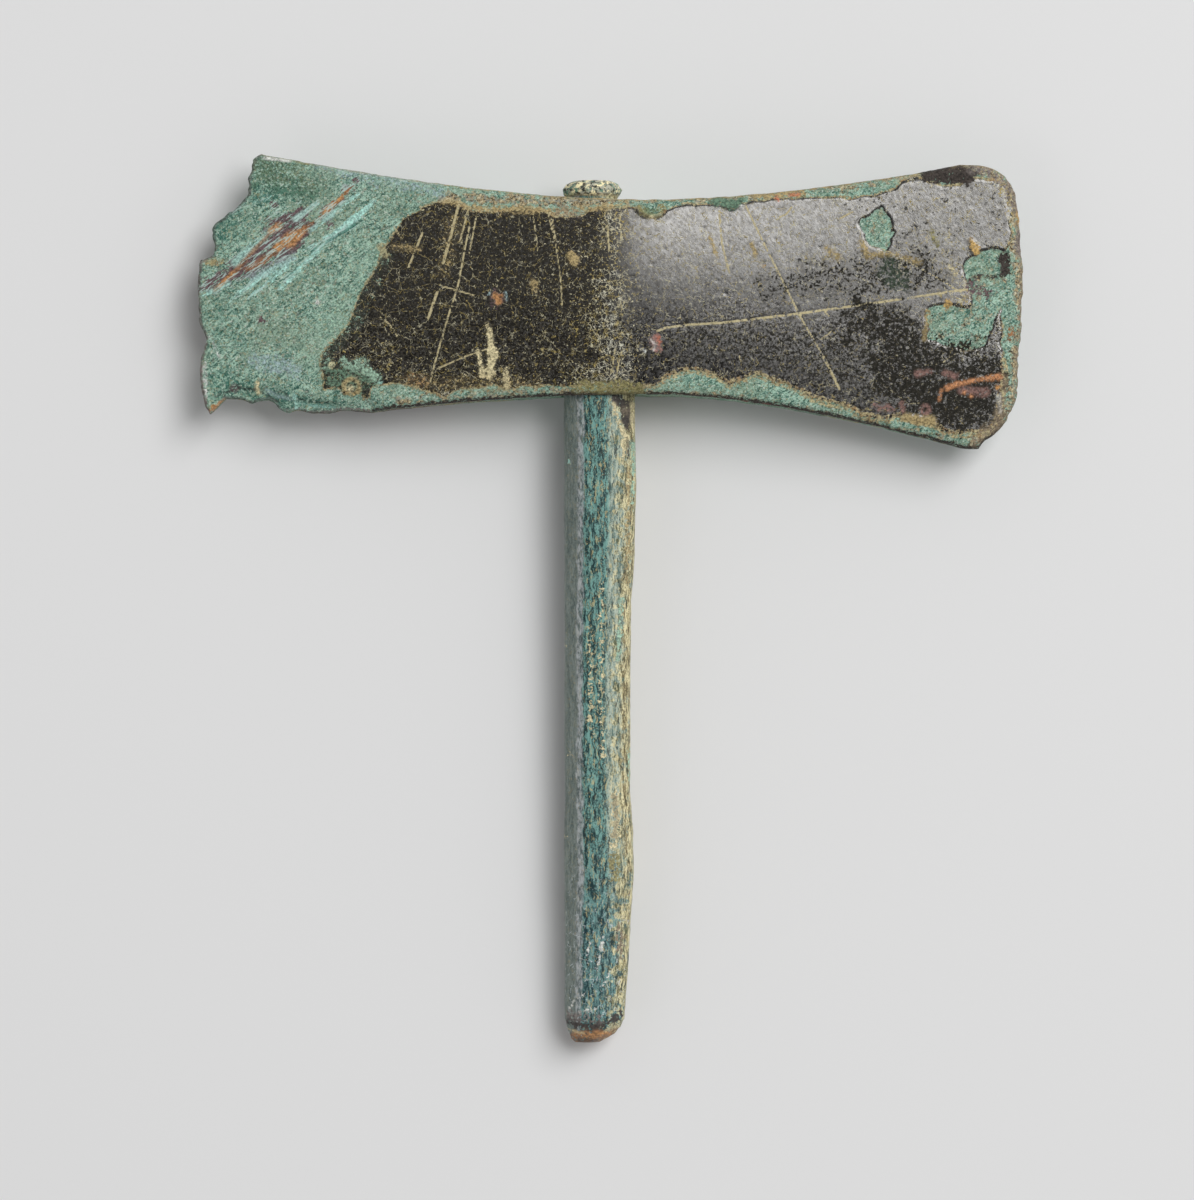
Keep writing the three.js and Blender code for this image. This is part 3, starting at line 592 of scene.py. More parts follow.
# Lumps of crust above the face around them, and hollows, as negative heights: (height, lines as above).
LUMPS = [
    (0.10, [(5.2, 10.7, 0.7), (6.3, 10.0, 0.5), (7.4, 10.8, 0.5)]),
    (0.12, [(13.7, 11.6, 0.5), (15.6, 11.2, 0.65), (17.0, 11.8, 0.4)]),
    (0.10, ring(-29.7, -10.5, 0.95, 0.25)),
    (0.08, ring(-32.0, -7.9, 0.3, 0.15), [(-3.2, 4.6, 0.7)],
     [(-13.0, -5.2, 0.35), (-12.7, -6.8, 0.5), (-13.1, -9.4, 0.3)],
     [(-11.3, -8.8, 0.45), (-11.0, -10.6, 0.35)],
     [(41.6, -10.6, 0.3), (43.0, -10.1, 0.25), (45.0, -9.7, 0.2), (48.0, -9.3, 0.3)],
     [(36.6, -14.3, 0.5), (39.6, -14.7, 0.6)], [(44.4, 7.0, 0.3), (45.0, 5.6, 0.45)]),
    (-0.15, [(-12.3, -0.3, 0.45)]),
    (-0.12, [(-40.6, -2.4, 0.5)]),
    (-0.10, [(48.4, 5.0, 0.8), (48.6, 3.6, 0.6)]),
    (-0.12, [(-40.0, 6.2, 0.4), (-38.0, 7.3, 0.9), (-36.0, 8.4, 0.5)]),
    (-0.10, [(-47.4, 0.4, 0.3), (-42.0, 4.4, 0.5), (-35.6, 9.0, 0.5), (-29.7, 13.9, 0.3)]),
]


def mark_depth(points, mark):
    """How far inside a mark each point is: its radius, changing along its line, less the distance."""
    mark = np.asarray(mark, float)
    if len(mark) == 1:
        return mark[0, 2] - np.hypot(*(points - mark[0, :2]).T)
    depth = np.full(len(points), -1e9)
    for (ax, ay, a_radius), (bx, by, b_radius) in zip(mark, mark[1:]):
        run = np.array([bx - ax, by - ay])
        along = np.clip((points - (ax, ay)) @ run / (run @ run), 0, 1)
        gap = np.hypot(*(points - (ax, ay) - along[:, None] * run).T)
        depth = np.maximum(depth, a_radius + (b_radius - a_radius) * along - gap)
    return depth


def near_line(points, line, reach):
    """Which points lie in the box round a line of points, larger by that reach."""
    ends = np.asarray(line, float)[:, :2]
    return np.all((points > ends.min(0) - reach) & (points < ends.max(0) + reach), axis=1)


def each_mark(points, marks):
    """A row's facts, the points near each of its lines, how deep inside they are, and the widest radius."""
    ragged = fractal_noise(points, 0.9, 4, 91) + 0.7 * fractal_noise(points, 2.4, 2, 92)
    for row in marks:
        facts = [value for value in row if not isinstance(value, list)]
        for line in row[len(facts):]:
            widest = max(radius for _, _, radius in line)
            near = near_line(points, line, 2 * widest + 0.2)
            yield facts, near, mark_depth(points[near], line) + 0.45 * widest * ragged[near], widest


def paint(points, marks):
    """Colour and cover, as red, green, blue and alpha, of all marks at each point."""
    colour = np.tile(srgb(*PAINTS["tan"]), (len(points), 1))
    cover = np.zeros(len(points))
    for (name, strength), near, depth, widest in each_mark(points, marks):
        soft = 0.05 + 0.45 * widest
        alpha = strength * smoothstep(-soft, soft, depth)
        both = alpha + cover[near] * (1 - alpha)
        share = (alpha / np.maximum(both, 1e-6))[:, None]
        colour[near] += (np.array(srgb(*PAINTS[name])) - colour[near]) * share
        cover[near] = both
    return np.column_stack([colour, cover])


def dust_amount(points):
    amount = np.zeros(len(points))
    for (much,), near, depth, widest in each_mark(points, DUST):
        soft = 0.6 * widest
        amount[near] = np.maximum(amount[near], much * smoothstep(-soft, soft, depth))
    return amount


def crust_width(points):
    """Half width of the tan crust along the border of the black, in mm."""
    x, y = points.T
    lower_right = smoothstep(3, 8, x) * smoothstep(-6, -8, y)
    top_left = smoothstep(-21, -18, x) * smoothstep(2, -2, x) * smoothstep(8, 9.5, y)
    width = 0.13 + 0.32 * lower_right + 0.12 * top_left + 0.10 * fractal_noise(points, 1.8, 3, 64)
    gap = np.max([region_depth(points, flake) for flake in FLAKES], axis=0)
    return width - 0.22 * smoothstep(-1.2, -0.6, gap)


def lump_height(points):
    height = np.zeros(len(points))
    for (high,), near, depth, widest in each_mark(points, LUMPS):
        height[near] += high * smoothstep(-0.1, 0.1 + 0.3 * widest, depth)
    return height


def patina_depth(points):
    """How far inside the black patina of the upper face each point is, negative on the green."""
    depth = region_depth(points, PATINA)
    for flake in FLAKES:
        depth = np.minimum(depth, -region_depth(points, flake))
    return depth + 0.22 * fractal_noise(points, 1.3, 3, 61)


def under_patina(points):
    """The same for the under face and the sides, where the black is left in a few broad patches."""
    return 3 * fractal_noise(points, 14, 4, 63) - 0.4


def scratch_depth(points):
    """How far inside a scratch each point is, in mm, weaker ones less; negative outside."""
    depth = np.full(len(points), -1.0)
    for width, strength, line in SCRATCHES:
        near = near_line(points, line, 0.5)
        gap, _ = line_distance(points[near], line)
        depth[near] = np.maximum(depth[near], strength * (width / 2 - gap))
    return depth


# ---- Meshes --------------------------------------------------------------------------------------

def mesh_object(name, vertices, faces):
    """An object from vertices in mm and faces of any size."""
    mesh = bpy.data.meshes.new(name)
    mesh.from_pydata((np.asarray(vertices) * MM).tolist(), [], [list(map(int, f)) for f in faces])
    mesh.update()
    piece = bpy.data.objects.new(name, mesh)
    bpy.context.scene.collection.objects.link(piece)
    return piece


def grid_quads(rows, columns, start=0, flip=False):
    """Quads over a grid of rows by columns vertices, numbered from start."""
    row, column = np.mgrid[0:rows - 1, 0:columns - 1]
    a = (start + row * columns + column).ravel()
    quads = np.stack([a, a + 1, a + columns + 1, a + columns], axis=1)
    return quads[:, ::-1] if flip else quads


def ring_quads(upper, lower):
    """Quads between two closed rings of vertex numbers."""
    return np.stack([upper, lower, np.roll(lower, -1), np.roll(upper, -1)], axis=1)


def ring_numbers(rows, columns, start=0):
    """Vertex numbers round the border of such a grid, counter-clockwise from its first one."""
    grid = np.arange(rows * columns).reshape(rows, columns) + start
    return np.concatenate([grid[0, :-1], grid[:-1, -1], grid[-1, :0:-1], grid[:0:-1, 0]])


def vertex_array(mesh):
    flat = np.empty(len(mesh.vertices) * 3, np.float32)
    mesh.vertices.foreach_get("co", flat)
    return flat.reshape(-1, 3).astype(float) / MM


def set_attributes(mesh, fields):
    """Stores each field on the mesh's vertices: one number or one colour with alpha each."""
    for name, values in fields.items():
        values = np.asarray(values, np.float32)
        if values.ndim == 1:
            mesh.attributes.new(name, "FLOAT", "POINT").data.foreach_set("value", values)
        else:
            mesh.attributes.new(name, "FLOAT_COLOR", "POINT").data.foreach_set("color", values.ravel())


def paint_over(below, above):
    """One set of marks laid over another."""
    both = above[:, 3] + below[:, 3] * (1 - above[:, 3])
    share = (above[:, 3] / np.maximum(both, 1e-6))[:, None]
    return np.column_stack([below[:, :3] + (above[:, :3] - below[:, :3]) * share, both])


def edge_paint(points, distance, kinds):
    """Dirt, and a dark umber line along the bottom side, round the outline, by the kind of the nearest
    stretch.
    """
    ragged = 0.12 * fractal_noise(points, 0.8, 3, 95)
    layers = np.zeros((len(points), 4))
    for kind, (name, width, strength) in enumerate(EDGE_BANDS):
        cover = strength * smoothstep(width, 0.4 * width, distance + ragged) * (kinds == kind)
        colour = np.tile(srgb(*PAINTS[name]), (len(points), 1))
        layers = paint_over(layers, np.column_stack([colour, cover]))
    return layers


def upper_face(points, distance, height, kinds):
    """Relief and fields of the upper face: depth cut into it, patina, scratch, marks of stain with a little
    painted shade and highlight, and streak.
    """
    black = patina_depth(points)
    scratch = scratch_depth(points)
    bare = 1 - smoothstep(-0.12, 0.18, black)
    chipped, _ = line_distance(points, CHIPS)
    ridges = 0.5 * fractal_noise(points, 2.2, 2, 78)
    slump = smoothstep(CHIP_BEVEL, 0, chipped + ridges) * smoothstep(-46, -39, points[:, 0])
    cut = LUMP_ALLOWANCE + FLAKE_DEPTH * bare
    cut -= CRUST_HEIGHT * np.exp(-((black + 0.05) / 0.22) ** 2)
    cut -= lump_height(points)
    cut += SCRATCH_DEPTH * smoothstep(-0.08, 0.08, scratch)
    cut += (0.05 + 0.07 * slump) * (fractal_noise(points, 0.8, 3, 71) + 1) * bare
    cut += (0.01 + 0.02 * bare) * (fractal_noise(points, 3.0, 3, 72) + 1)
    cut += 0.12 * pits(points, 2.2, 0.45, 0.4, 74) * bare
    cut += 0.04 * pits(points, 1.6, 0.22, 0.4, 75) * (1 - bare)
    cut += 0.9 * slump ** 1.5
    cut = np.clip(cut, 0, MOST_OF_HEIGHT * height)
    fields = {
        "patina": np.clip(black, -3, 3),
        "scratch": scratch,
        "dust": dust_amount(points),
        "crust": crust_width(points),
        "mark_paint": paint_over(edge_paint(points, distance, kinds), paint(points, MARKS)),
        "streak": paint(points, STREAKS),
    }
    return cut, fields


def plain_fields(points, patina):
    """The same fields where there are no marks."""
    flat = np.ones(len(points))
    blank = np.zeros((len(points), 4))
    return {"patina": patina, "scratch": -flat, "dust": 0.2 * flat, "crust": 0.15 * flat,
            "mark_paint": blank, "streak": blank}


def wall_rings(top, bottom_z):
    """Rings down the side wall from its upper edge to its lower one, worn inwards by noise."""
    run = np.roll(top[:, :2], -1, axis=0) - np.roll(top[:, :2], 1, axis=0)
    inward = np.column_stack([-run[:, 1], run[:, 0]]) / np.hypot(*run.T)[:, None]
    rings = []
    for step in range(1, WALL_ROWS):
        ring = top.copy()
        ring[:, 2] += (bottom_z - top[:, 2]) * step / WALL_ROWS
        bulge = math.sin(math.pi * step / WALL_ROWS) ** 0.5
        worn = 0.06 * (fractal_noise(ring, 1.6, 3, 76) + 1) * bulge
        ring[:, :2] += inward * worn[:, None]
        rings.append(ring)
    return rings


def wall_fields(rings):
    """Fields of the wall: green, with broken dark umber patches, thickest just below its upper edge."""
    points = np.concatenate(rings)
    up = np.repeat(1 - (np.arange(len(rings)) + 1) / WALL_ROWS, len(rings[0]))
    fields = plain_fields(points, under_patina(points) - 2.5 * smoothstep(0.2, 1, up))
    # Umber in broken patches over the wall, strongest in the row just below its upper edge.
    umber_patches = smoothstep(-0.3, 0.5, fractal_noise(points, 2.4, 3, 77))
    cover = np.where(up > 1 - 1.5 / WALL_ROWS, 0.75, 0.35) * umber_patches
    fields["mark_paint"] = np.column_stack([np.tile(srgb(*PAINTS["umber"]), (len(points), 1)), cover])
    fields["dust"] = 0.5 * smoothstep(-0.4, 0.6, fractal_noise(points, 6.0, 3, 79))
    return fields


def head_shape():
    """The head's skin: a fine upper face, a wall down its sides and a coarser under face, with fields."""
    s = np.linspace(0, 1, COARSE_COLUMNS * FINER + 1)
    t = np.linspace(0, 1, COARSE_ROWS * FINER + 1)
    grid = plan_grid(s, t)
    rows, columns = grid.shape[:2]
    points = grid.reshape(-1, 2)
    distance, kinds = edge_distances(grid)
    height = face_height(points, distance, ROUNDING[kinds])
    cut, top_fields = upper_face(points, distance, height, kinds)
    top = np.column_stack([points, MIDDLE_Z + height - cut])

    border = ring_numbers(rows, columns)
    walls = wall_rings(top[border], MIDDLE_Z - height[border])

    coarse = np.arange(rows * columns).reshape(rows, columns)[::FINER, ::FINER].ravel()
    flat = points[coarse]
    patina = under_patina(np.column_stack([flat, MIDDLE_Z - height[coarse]]))
    under_cut = 0.06 * (fractal_noise(flat, 2.5, 3, 73) + 1) + 0.08 * smoothstep(0.3, -0.3, patina)
    under = np.column_stack([flat, np.maximum(MIDDLE_Z - height[coarse] + under_cut, 0)])

    vertices = np.concatenate([top, *walls, under])
    parts = [top_fields, wall_fields(walls), plain_fields(under, patina)]
    fields = {name: np.concatenate([part[name] for part in parts]) for name in top_fields}

    faces = list(grid_quads(rows, columns))
    rings = [border] + [len(top) + np.arange(len(border)) + len(border) * i for i in range(len(walls))]
    for upper, lower in zip(rings, rings[1:]):
        faces += list(ring_quads(upper, lower))
    under_start = len(vertices) - len(under)
    faces += list(grid_quads(COARSE_ROWS + 1, COARSE_COLUMNS + 1, under_start, flip=True))
    under_ring = ring_numbers(COARSE_ROWS + 1, COARSE_COLUMNS + 1, under_start)
    last = rings[-1]
    for i, low in enumerate(under_ring):
        next_low = under_ring[(i + 1) % len(under_ring)]
        fan = [last[(i * FINER + k) % len(last)] for k in range(FINER + 1)]
        faces.append([fan[0], low, next_low, fan[1]])
        faces += [[fan[k], next_low, fan[k + 1]] for k in range(1, FINER)]
    return vertices, faces, fields


# ---- Shaft ---------------------------------------------------------------------------------------

SHAFT_DEPTH_RATIO = 0.9   # depth of the bar to its width
SHAFT_SIDES = [  # y, left x, right x, down the bar
    (12.3, -4.2, 2.2), (-12.0, -4.4, 4.2), (-21.6, -4.35, 4.4), (-30.6, -4.3, 4.2),
    (-36.0, -4.3, 3.8), (-48.0, -4.3, 3.7), (-58.8, -4.3, 3.65), (-63.6, -4.3, 4.0),
    (-69.6, -4.3, 4.1), (-74.4, -4.3, 3.7), (-80.4, -4.3, 3.4), (-86.4, -4.3, 3.0),
]
# The knob and the broken end, as above.
KNOB = [(14.2, -3.3, 1.5), (13.8, -4.2, 2.4), (13.2, -4.6, 2.8), (12.6, -4.5, 2.6)]
KNOB_DEPTH_RATIO = 0.95
STUMP = [(-87.4, -4.2, 2.6), (-88.1, -3.9, 2.1), (-88.8, -3.6, 1.0), (-89.2, -3.3, 0.2)]
STUMP_DEPTHS = [6.0, 5.2, 4.0, 2.8]
STUMP_Y = -86.0       # below this the broken end is marked all round
SOFT_CORNER, ROUND_CORNER = 0.1, 0.29  # how far the octagon's corners are softened, bar and knob
EYE_GAP = 0.3
EYE_REACH = 20.0      # the eye's cutter runs this far along the bar, both ways from the head's middle
# The bar sinks towards its lower end until it touches the table.
LEAN = min((MIDDLE_Z - (right - left) * SHAFT_DEPTH_RATIO / 2) / -y for y, left, right in SHAFT_SIDES[1:])

SHAFT_STEP = 0.2      # mm between rings
SHAFT_AROUND = 144    # points on a ring

# Marks on the upper side of the shaft, as above.
SHAFT_MARKS = [
    ("umber", 0.95, [(2.0, -12.0, 0.6), (3.0, -12.8, 0.75), (3.2, -14.6, 0.6), (3.0, -15.6, 0.35)]),
    ("drab", 0.50, [(3.0, -13.4, 0.5)]),
    ("sand", 0.80, [(1.6, -12.6, 0.2), (2.2, -14.6, 0.2), (3.0, -16.2, 0.35), (3.0, -18.2, 0.3),
                    (2.7, -19.4, 0.15)]),
    ("sand", 0.70, [(3.9, -12.6, 0.25), (3.9, -15.6, 0.2)]),
    ("umber", 0.60, [(3.4, -17.2, 0.25), (3.3, -19.0, 0.2)]),
    ("mint", 0.80, [(4.0, -17.4, 0.3), (4.0, -21.0, 0.25), (3.8, -24.4, 0.2)]),
    ("tan", 0.45, [(3.4, -20.0, 0.3), (3.3, -27.0, 0.3), (3.2, -34.0, 0.3)]),
    ("sand", 0.60, [(2.0, -59.0, 0.35), (1.9, -62.0, 0.55), (1.8, -65.4, 0.55)]),
    ("umber", 0.40, [(1.7, -59.6, 0.25), (2.0, -62.0, 0.3), (1.7, -64.4, 0.3)]),
    ("olive", 0.60, [(1.7, -66.8, 0.5), (1.9, -69.4, 0.6)]),
    ("drab", 0.60, [(2.2, -75.0, 0.35), (2.5, -79.0, 0.35)]),
    ("mint", 0.60, [(2.6, -36.0, 0.3), (2.2, -43.0, 0.3)], [(3.5, -54.0, 0.3), (3.6, -58.0, 0.25)]),
    ("sand", 0.35, [(0.2, -34.0, 0.3), (0.0, -46.0, 0.35), (0.4, -55.0, 0.3)],
     [(-1.2, -39.5, 0.35), (-1.0, -52.0, 0.3)]),
    ("aqua", 0.80, [(-3.7, -19.4, 0.2)]),
    ("sand", 0.60, [(-4.2, -41.4, 0.2)], [(-3.7, -54.5, 0.2)], [(-4.2, -64.4, 0.2)]),
    ("chalk", 0.75, [(-1.2, -77.0, 0.14), (-1.6, -78.6, 0.12)], [(0.4, -76.4, 0.14), (-0.2, -79.6, 0.12)],
     [(1.4, -80.2, 0.12), (0.4, -82.2, 0.14)]),
    ("chalk", 0.70, [(-1.6, -83.0, 0.14), (-3.2, -84.2, 0.16), (-3.6, -85.0, 0.14)]),
    ("chalk", 0.60, [(-2.4, -85.4, 0.2), (-0.6, -85.0, 0.14)]),
    ("umber", 0.75, [(-3.8, -86.6, 0.45), (-1.4, -87.0, 0.45), (0.8, -86.8, 0.4), (2.4, -85.8, 0.5)]),
    ("ash", 0.50, [(-3.6, -85.8, 0.6), (0.0, -86.2, 0.6)]),
    ("umber", 0.60, [(-4.0, -88.2, 0.7), (-1.6, -88.6, 1.1), (1.6, -88.0, 0.9)]),
    ("rust", 0.70, [(-4.0, -88.5, 0.6), (-1.6, -88.8, 0.9), (1.6, -88.4, 0.7)]),
    ("copper", 0.60, [(-3.2, -88.1, 0.3), (-0.8, -88.3, 0.4), (1.2, -88.0, 0.3)]),
    ("sand", 0.60, [(-4.0, -87.6, 0.16), (-2.0, -88.0, 0.14)], [(0.6, -87.7, 0.16), (2.2, -87.2, 0.2)]),
    ("umber", 0.60, [(-2.4, -88.9, 0.35), (-0.4, -89.0, 0.3)]),
]


def octagon_radius(angle, corner):
    """Radius of an octagon with flats at 1 and softened corners, by angle."""
    half_side = math.pi / 8
    sector = (angle + half_side) % (2 * half_side) - half_side
    flat = 1 / np.cos(sector)
    cut = (1 / math.cos(half_side)) * (1 - corner * 0.6)
    blend = 24
    return (flat ** -blend + cut ** -blend) ** (-1 / blend)


def shaft_rings():
    """Stations down the whole shaft: y, left, right, depth and corner softness."""
    rows = [(y, a, b, (b - a) * KNOB_DEPTH_RATIO, ROUND_CORNER) for y, a, b in KNOB]
    rows += [(y, a, b, (b - a) * SHAFT_DEPTH_RATIO, SOFT_CORNER) for y, a, b in SHAFT_SIDES]
    rows += [(y, a, b, depth, SOFT_CORNER) for (y, a, b), depth in zip(STUMP, STUMP_DEPTHS)]
    rows = np.array(rows)
    y = np.append(np.arange(rows[0, 0], rows[-1, 0], -SHAFT_STEP), rows[-1, 0])
    return np.column_stack([y] + [np.interp(-y, -rows[:, 0], rows[:, i]) for i in range(1, 5)])


def shaft_relief(y, turn, half_width):
    """Depth cut into the shaft: hammered hollows, lengthwise grooves, pits and the knob's lumps."""
    around = np.column_stack([np.cos(turn) * half_width, y, np.sin(turn) * half_width])
    grooves = fractal_noise(around * (1, 0.12, 1), 0.7, 3, 81)
    cut = 0.05 * (fractal_noise(around, 4.0, 2, 82) + 1) + 0.04 * grooves
    cut += 0.04 * fractal_noise(around, 0.8, 2, 83)
    on_knob = smoothstep(12.2, 12.7, y)
    stump = smoothstep(-86.2, -87.2, y)
    cut += 0.18 * (fractal_noise(around, 1.0, 3, 84) + 0.7) * on_knob
    return cut + 0.20 * (fractal_noise(around, 0.9, 3, 85) + 1) * stump


def shaft_shape():
    """The shaft's skin from knob to broken end, with its fields."""
    rings = shaft_rings()
    turn = np.tile(np.arange(SHAFT_AROUND) * 2 * math.pi / SHAFT_AROUND, len(rings))
    y, left, right, depth, corner = np.repeat(rings, SHAFT_AROUND, axis=0).T
    radius = octagon_radius(turn, corner) / octagon_radius(0, corner)
    cut = shaft_relief(y, turn, (right - left) / 2)
    x = (left + right) / 2 + ((right - left) / 2 * radius - cut) * np.cos(turn)
    z = MIDDLE_Z + LEAN * y + (depth / 2 * radius - cut) * np.sin(turn)
    vertices = np.column_stack([x, y, np.clip(z, shaft_low[2], shaft_high[2])])
    marks = paint(vertices[:, :2], SHAFT_MARKS)
    marks[:, 3] *= np.where(y > STUMP_Y, smoothstep(-0.3, 0.1, np.sin(turn)), 1)
    fields = {"across": radius * np.cos(turn), "up": radius * np.sin(turn), "mark_paint": marks}
    numbers = np.arange(len(vertices)).reshape(len(rings), SHAFT_AROUND)
    faces = []
    for upper, lower in zip(numbers, numbers[1:]):
        faces += list(ring_quads(upper, lower)[:, ::-1])
    faces += [list(numbers[0][::-1]), list(numbers[-1])]
    return vertices, faces, fields


def cut_eye(head):
    """Cuts the eye through the head: the shaft's own run through it, larger all round by the gap."""
    top, bottom = SHAFT_SIDES[0], SHAFT_SIDES[1]
    angle = np.arange(SHAFT_AROUND) * 2 * math.pi / SHAFT_AROUND
    radius = octagon_radius(angle, SOFT_CORNER) / octagon_radius(0, SOFT_CORNER)
    rings = []
    for y in (EYE_REACH, -EYE_REACH):
        part = (y - top[0]) / (bottom[0] - top[0])
        left, right = (top[i] + (bottom[i] - top[i]) * part for i in (1, 2))
        half_width = (right - left) / 2
        x = (left + right) / 2 + (half_width + EYE_GAP) * radius * np.cos(angle)
        z = MIDDLE_Z + LEAN * y + (half_width * SHAFT_DEPTH_RATIO + EYE_GAP) * radius * np.sin(angle)
        rings.append(np.column_stack([x, np.full(len(x), y), z]))
    first = np.arange(SHAFT_AROUND)
    second = first + SHAFT_AROUND
    faces = list(ring_quads(first, second)[:, ::-1]) + [list(first[::-1]), list(second)]
    cutter = mesh_object("eye_cutter", np.concatenate(rings), faces)
    cut = head.modifiers.new("eye", "BOOLEAN")
    cut.operation, cut.solver, cut.object = "DIFFERENCE", "EXACT", cutter
    evaluated = head.evaluated_get(bpy.context.evaluated_depsgraph_get())
    mesh = bpy.data.meshes.new_from_object(evaluated)
    head.modifiers.clear()
    head.data = mesh
    bpy.data.objects.remove(cutter)


def nearest_fields(mesh, vertices, fields):
    """The fields for a changed mesh, each vertex taking those of the nearest old one."""
    tree = KDTree(len(vertices))
    for number, vertex in enumerate(vertices):
        tree.insert(vertex, number)
    tree.balance()
    nearest = [tree.find(vertex)[1] for vertex in vertex_array(mesh)]
    return {name: values[nearest] for name, values in fields.items()}


# ---- Materials -----------------------------------------------------------------------------------

class Nodes:
    """A material's node tree, with one short call for each kind of node."""

    def __init__(self, name):
        self.material = bpy.data.materials.new(name)
        self.material.use_nodes = True
        self.tree = self.material.node_tree
        self.shader = self.tree.nodes["Principled BSDF"]
        self.place = self.vector("SCALE", self.node("TexCoord", {}, "Object"), 1 / MM)
        self.leaning = self.node("Mapping", {"Vector": self.place, "Rotation": (0, 0, -STREAK_SLOPE)})
        self.x, self.y = (self.node("SeparateXYZ", {0: self.place}, axis) for axis in "XY")

    def put(self, socket, value):
        if isinstance(value, bpy.types.NodeSocket):
            self.tree.links.new(value, socket)
        elif isinstance(value, tuple) and len(value) == 3 and socket.type == "RGBA":
            socket.default_value = (*value, 1)
        else:
            socket.default_value = value

    def node(self, kind, inputs, output=0, **settings):
        """One output of a new node, with values or links for its inputs, by number or name."""
        node = self.tree.nodes.new("ShaderNode" + kind)
        for name, value in settings.items():
            setattr(node, name, value)
        for socket, value in inputs.items():
            self.put(node.inputs[socket], value)
        return node.outputs[output]

    def set(self, **inputs):
        """Values or links for the shader's inputs, with _ for a space in their names."""
        for name, value in inputs.items():
            self.put(self.shader.inputs[name.replace("_", " ")], value)

    def math(self, operation, a, b=0.0, clamp=False):
        return self.node("Math", {0: a, 1: b}, operation=operation, use_clamp=clamp)

    def add(self, *values):
        return reduce(partial(self.math, "ADD"), values)

    def times(self, *values):
        return reduce(partial(self.math, "MULTIPLY"), values)

    def most(self, *values):
        return reduce(partial(self.math, "MAXIMUM"), values)

    def rest(self, value):
        return self.math("SUBTRACT", 1.0, value, clamp=True)

    def swing(self, value, amount):
        """A noise's value turned into one that swings about 0."""
        return self.times(self.math("SUBTRACT", value, 0.5), amount)

    def vector(self, operation, a, b):
        second = "Scale" if operation == "SCALE" else 1
        return self.node("VectorMath", {0: a, second: b}, operation=operation)

    def drawn_out(self, place, x, y):
        """Coordinates on which noise is stretched along x or y, by factors below 1."""
        return self.vector("MULTIPLY", place, (x, y, 1.0))

    def step(self, value, low, high, to_low=0.0, to_high=1.0):
        inputs = dict(enumerate((value, low, high, to_low, to_high)))
        return self.node("MapRange", inputs, interpolation_type="SMOOTHSTEP")

    def mix(self, factor, a, b):
        return self.node("Mix", {0: factor, 6: a, 7: b}, 2, data_type="RGBA")

    def tones(self, value, low, high, dark, light):
        """From one display colour to another while a value goes from low to high."""
        return self.mix(self.step(value, low, high), srgb(*dark), srgb(*light))

    def over(self, colour, cover, share, tone):
        """A display colour laid over another colour, where cover is 1 with that share."""
        return self.mix(self.times(cover, share), colour, srgb(*tone))

    def noise(self, size, detail=2.0, rough=0.5, place=None, seed=0, output="Fac"):
        """Noise whose features are about that many mm; another seed gives another pattern."""
        place = place or self.place
        if seed:
            place = self.vector("ADD", place, (seed * 37.1, seed * 11.3, 0))
        inputs = {"Vector": place, "Scale": 1 / size, "Detail": detail, "Roughness": rough}
        return self.node("TexNoise", inputs, output)

    def warped(self, size, amount, place=None):
        """Coordinates pushed about by noise, so that what is drawn on them looks grown."""
        push = self.vector("SUBTRACT", self.noise(size, 2, 0.6, place, 9, "Color"), (0.5, 0.5, 0.5))
        return self.vector("ADD", place or self.place, self.vector("SCALE", push, amount))

    def cells(self, size, place, feature="F1"):
        return self.node("TexVoronoi", {"Vector": place, "Scale": 1 / size}, "Distance", feature=feature)

    def crackle(self, size, width, place):
        """A net of thin lines between cells."""
        return self.step(self.cells(size, place, "DISTANCE_TO_EDGE"), width, 0.3 * width)

    def field(self, name, output="Fac"):
        return self.node("Attribute", {}, output, attribute_name=name)

    def speckled(self, cover, grain):
        """Cover from 0 to 1 broken up into grains, with that share of them filled."""
        even = self.step(grain, 0.34, 0.66)
        return self.step(self.math("SUBTRACT", cover, even), -0.08, 0.12)

    def marked(self, colour, name, cover, mottled):
        """A painted field's own colour, mottled by the grain, laid over another colour."""
        return self.mix(cover, colour, self.vector("SCALE", self.field(name, "Color"), mottled))

    def bump(self, height, strength, distance_mm):
        inputs = {"Strength": strength, "Distance": distance_mm * MM, "Height": height}
        return self.node("Bump", inputs, "Normal")


# Grains laid over the green, each shown where its noise rises from low to high: (size, detail,
# roughness, low, high, cover, colour).
GREEN_LAYERS = [
    (1.3, 6, 0.8, 0.46, 0.62, 0.5, (50, 100, 88)),
    (5.0, 5, 0.7, 0.45, 0.62, 0.45, (134, 152, 130)),
    (0.3, 1, 0.5, 0.58, 0.66, 0.45, (164, 154, 112)),
    (0.24, 1, 0.5, 0.62, 0.68, 0.6, (216, 226, 212)),
    (0.28, 1, 0.5, 0.58, 0.66, 0.6, (34, 70, 62)),
    (0.5, 1, 0.5, 0.62, 0.7, 0.4, (140, 132, 118)),
]


def green_corrosion(n, dust):
    """Matte green, fibrous and finely grained, with darker and paler places."""
    along = n.drawn_out(n.leaning, 0.3, 1.0)
    fibres = n.mix(0.5, n.noise(0.34, 4, 0.75, along), n.noise(0.2, 3, 0.7, seed=26))
    colour = n.tones(fibres, 0.39, 0.58, (24, 76, 64), (173, 206, 186))
    for seed, (size, detail, rough, low, high, cover, tone) in enumerate(GREEN_LAYERS, start=1):
        colour = n.over(colour, n.step(n.noise(size, detail, rough, seed=seed), low, high), cover, tone)
    weathered = n.add(n.noise(1.0, 4, 0.7, seed=20), n.times(dust, 0.4))
    return n.mix(n.step(weathered, 0.62, 0.76), colour, mottle(n))


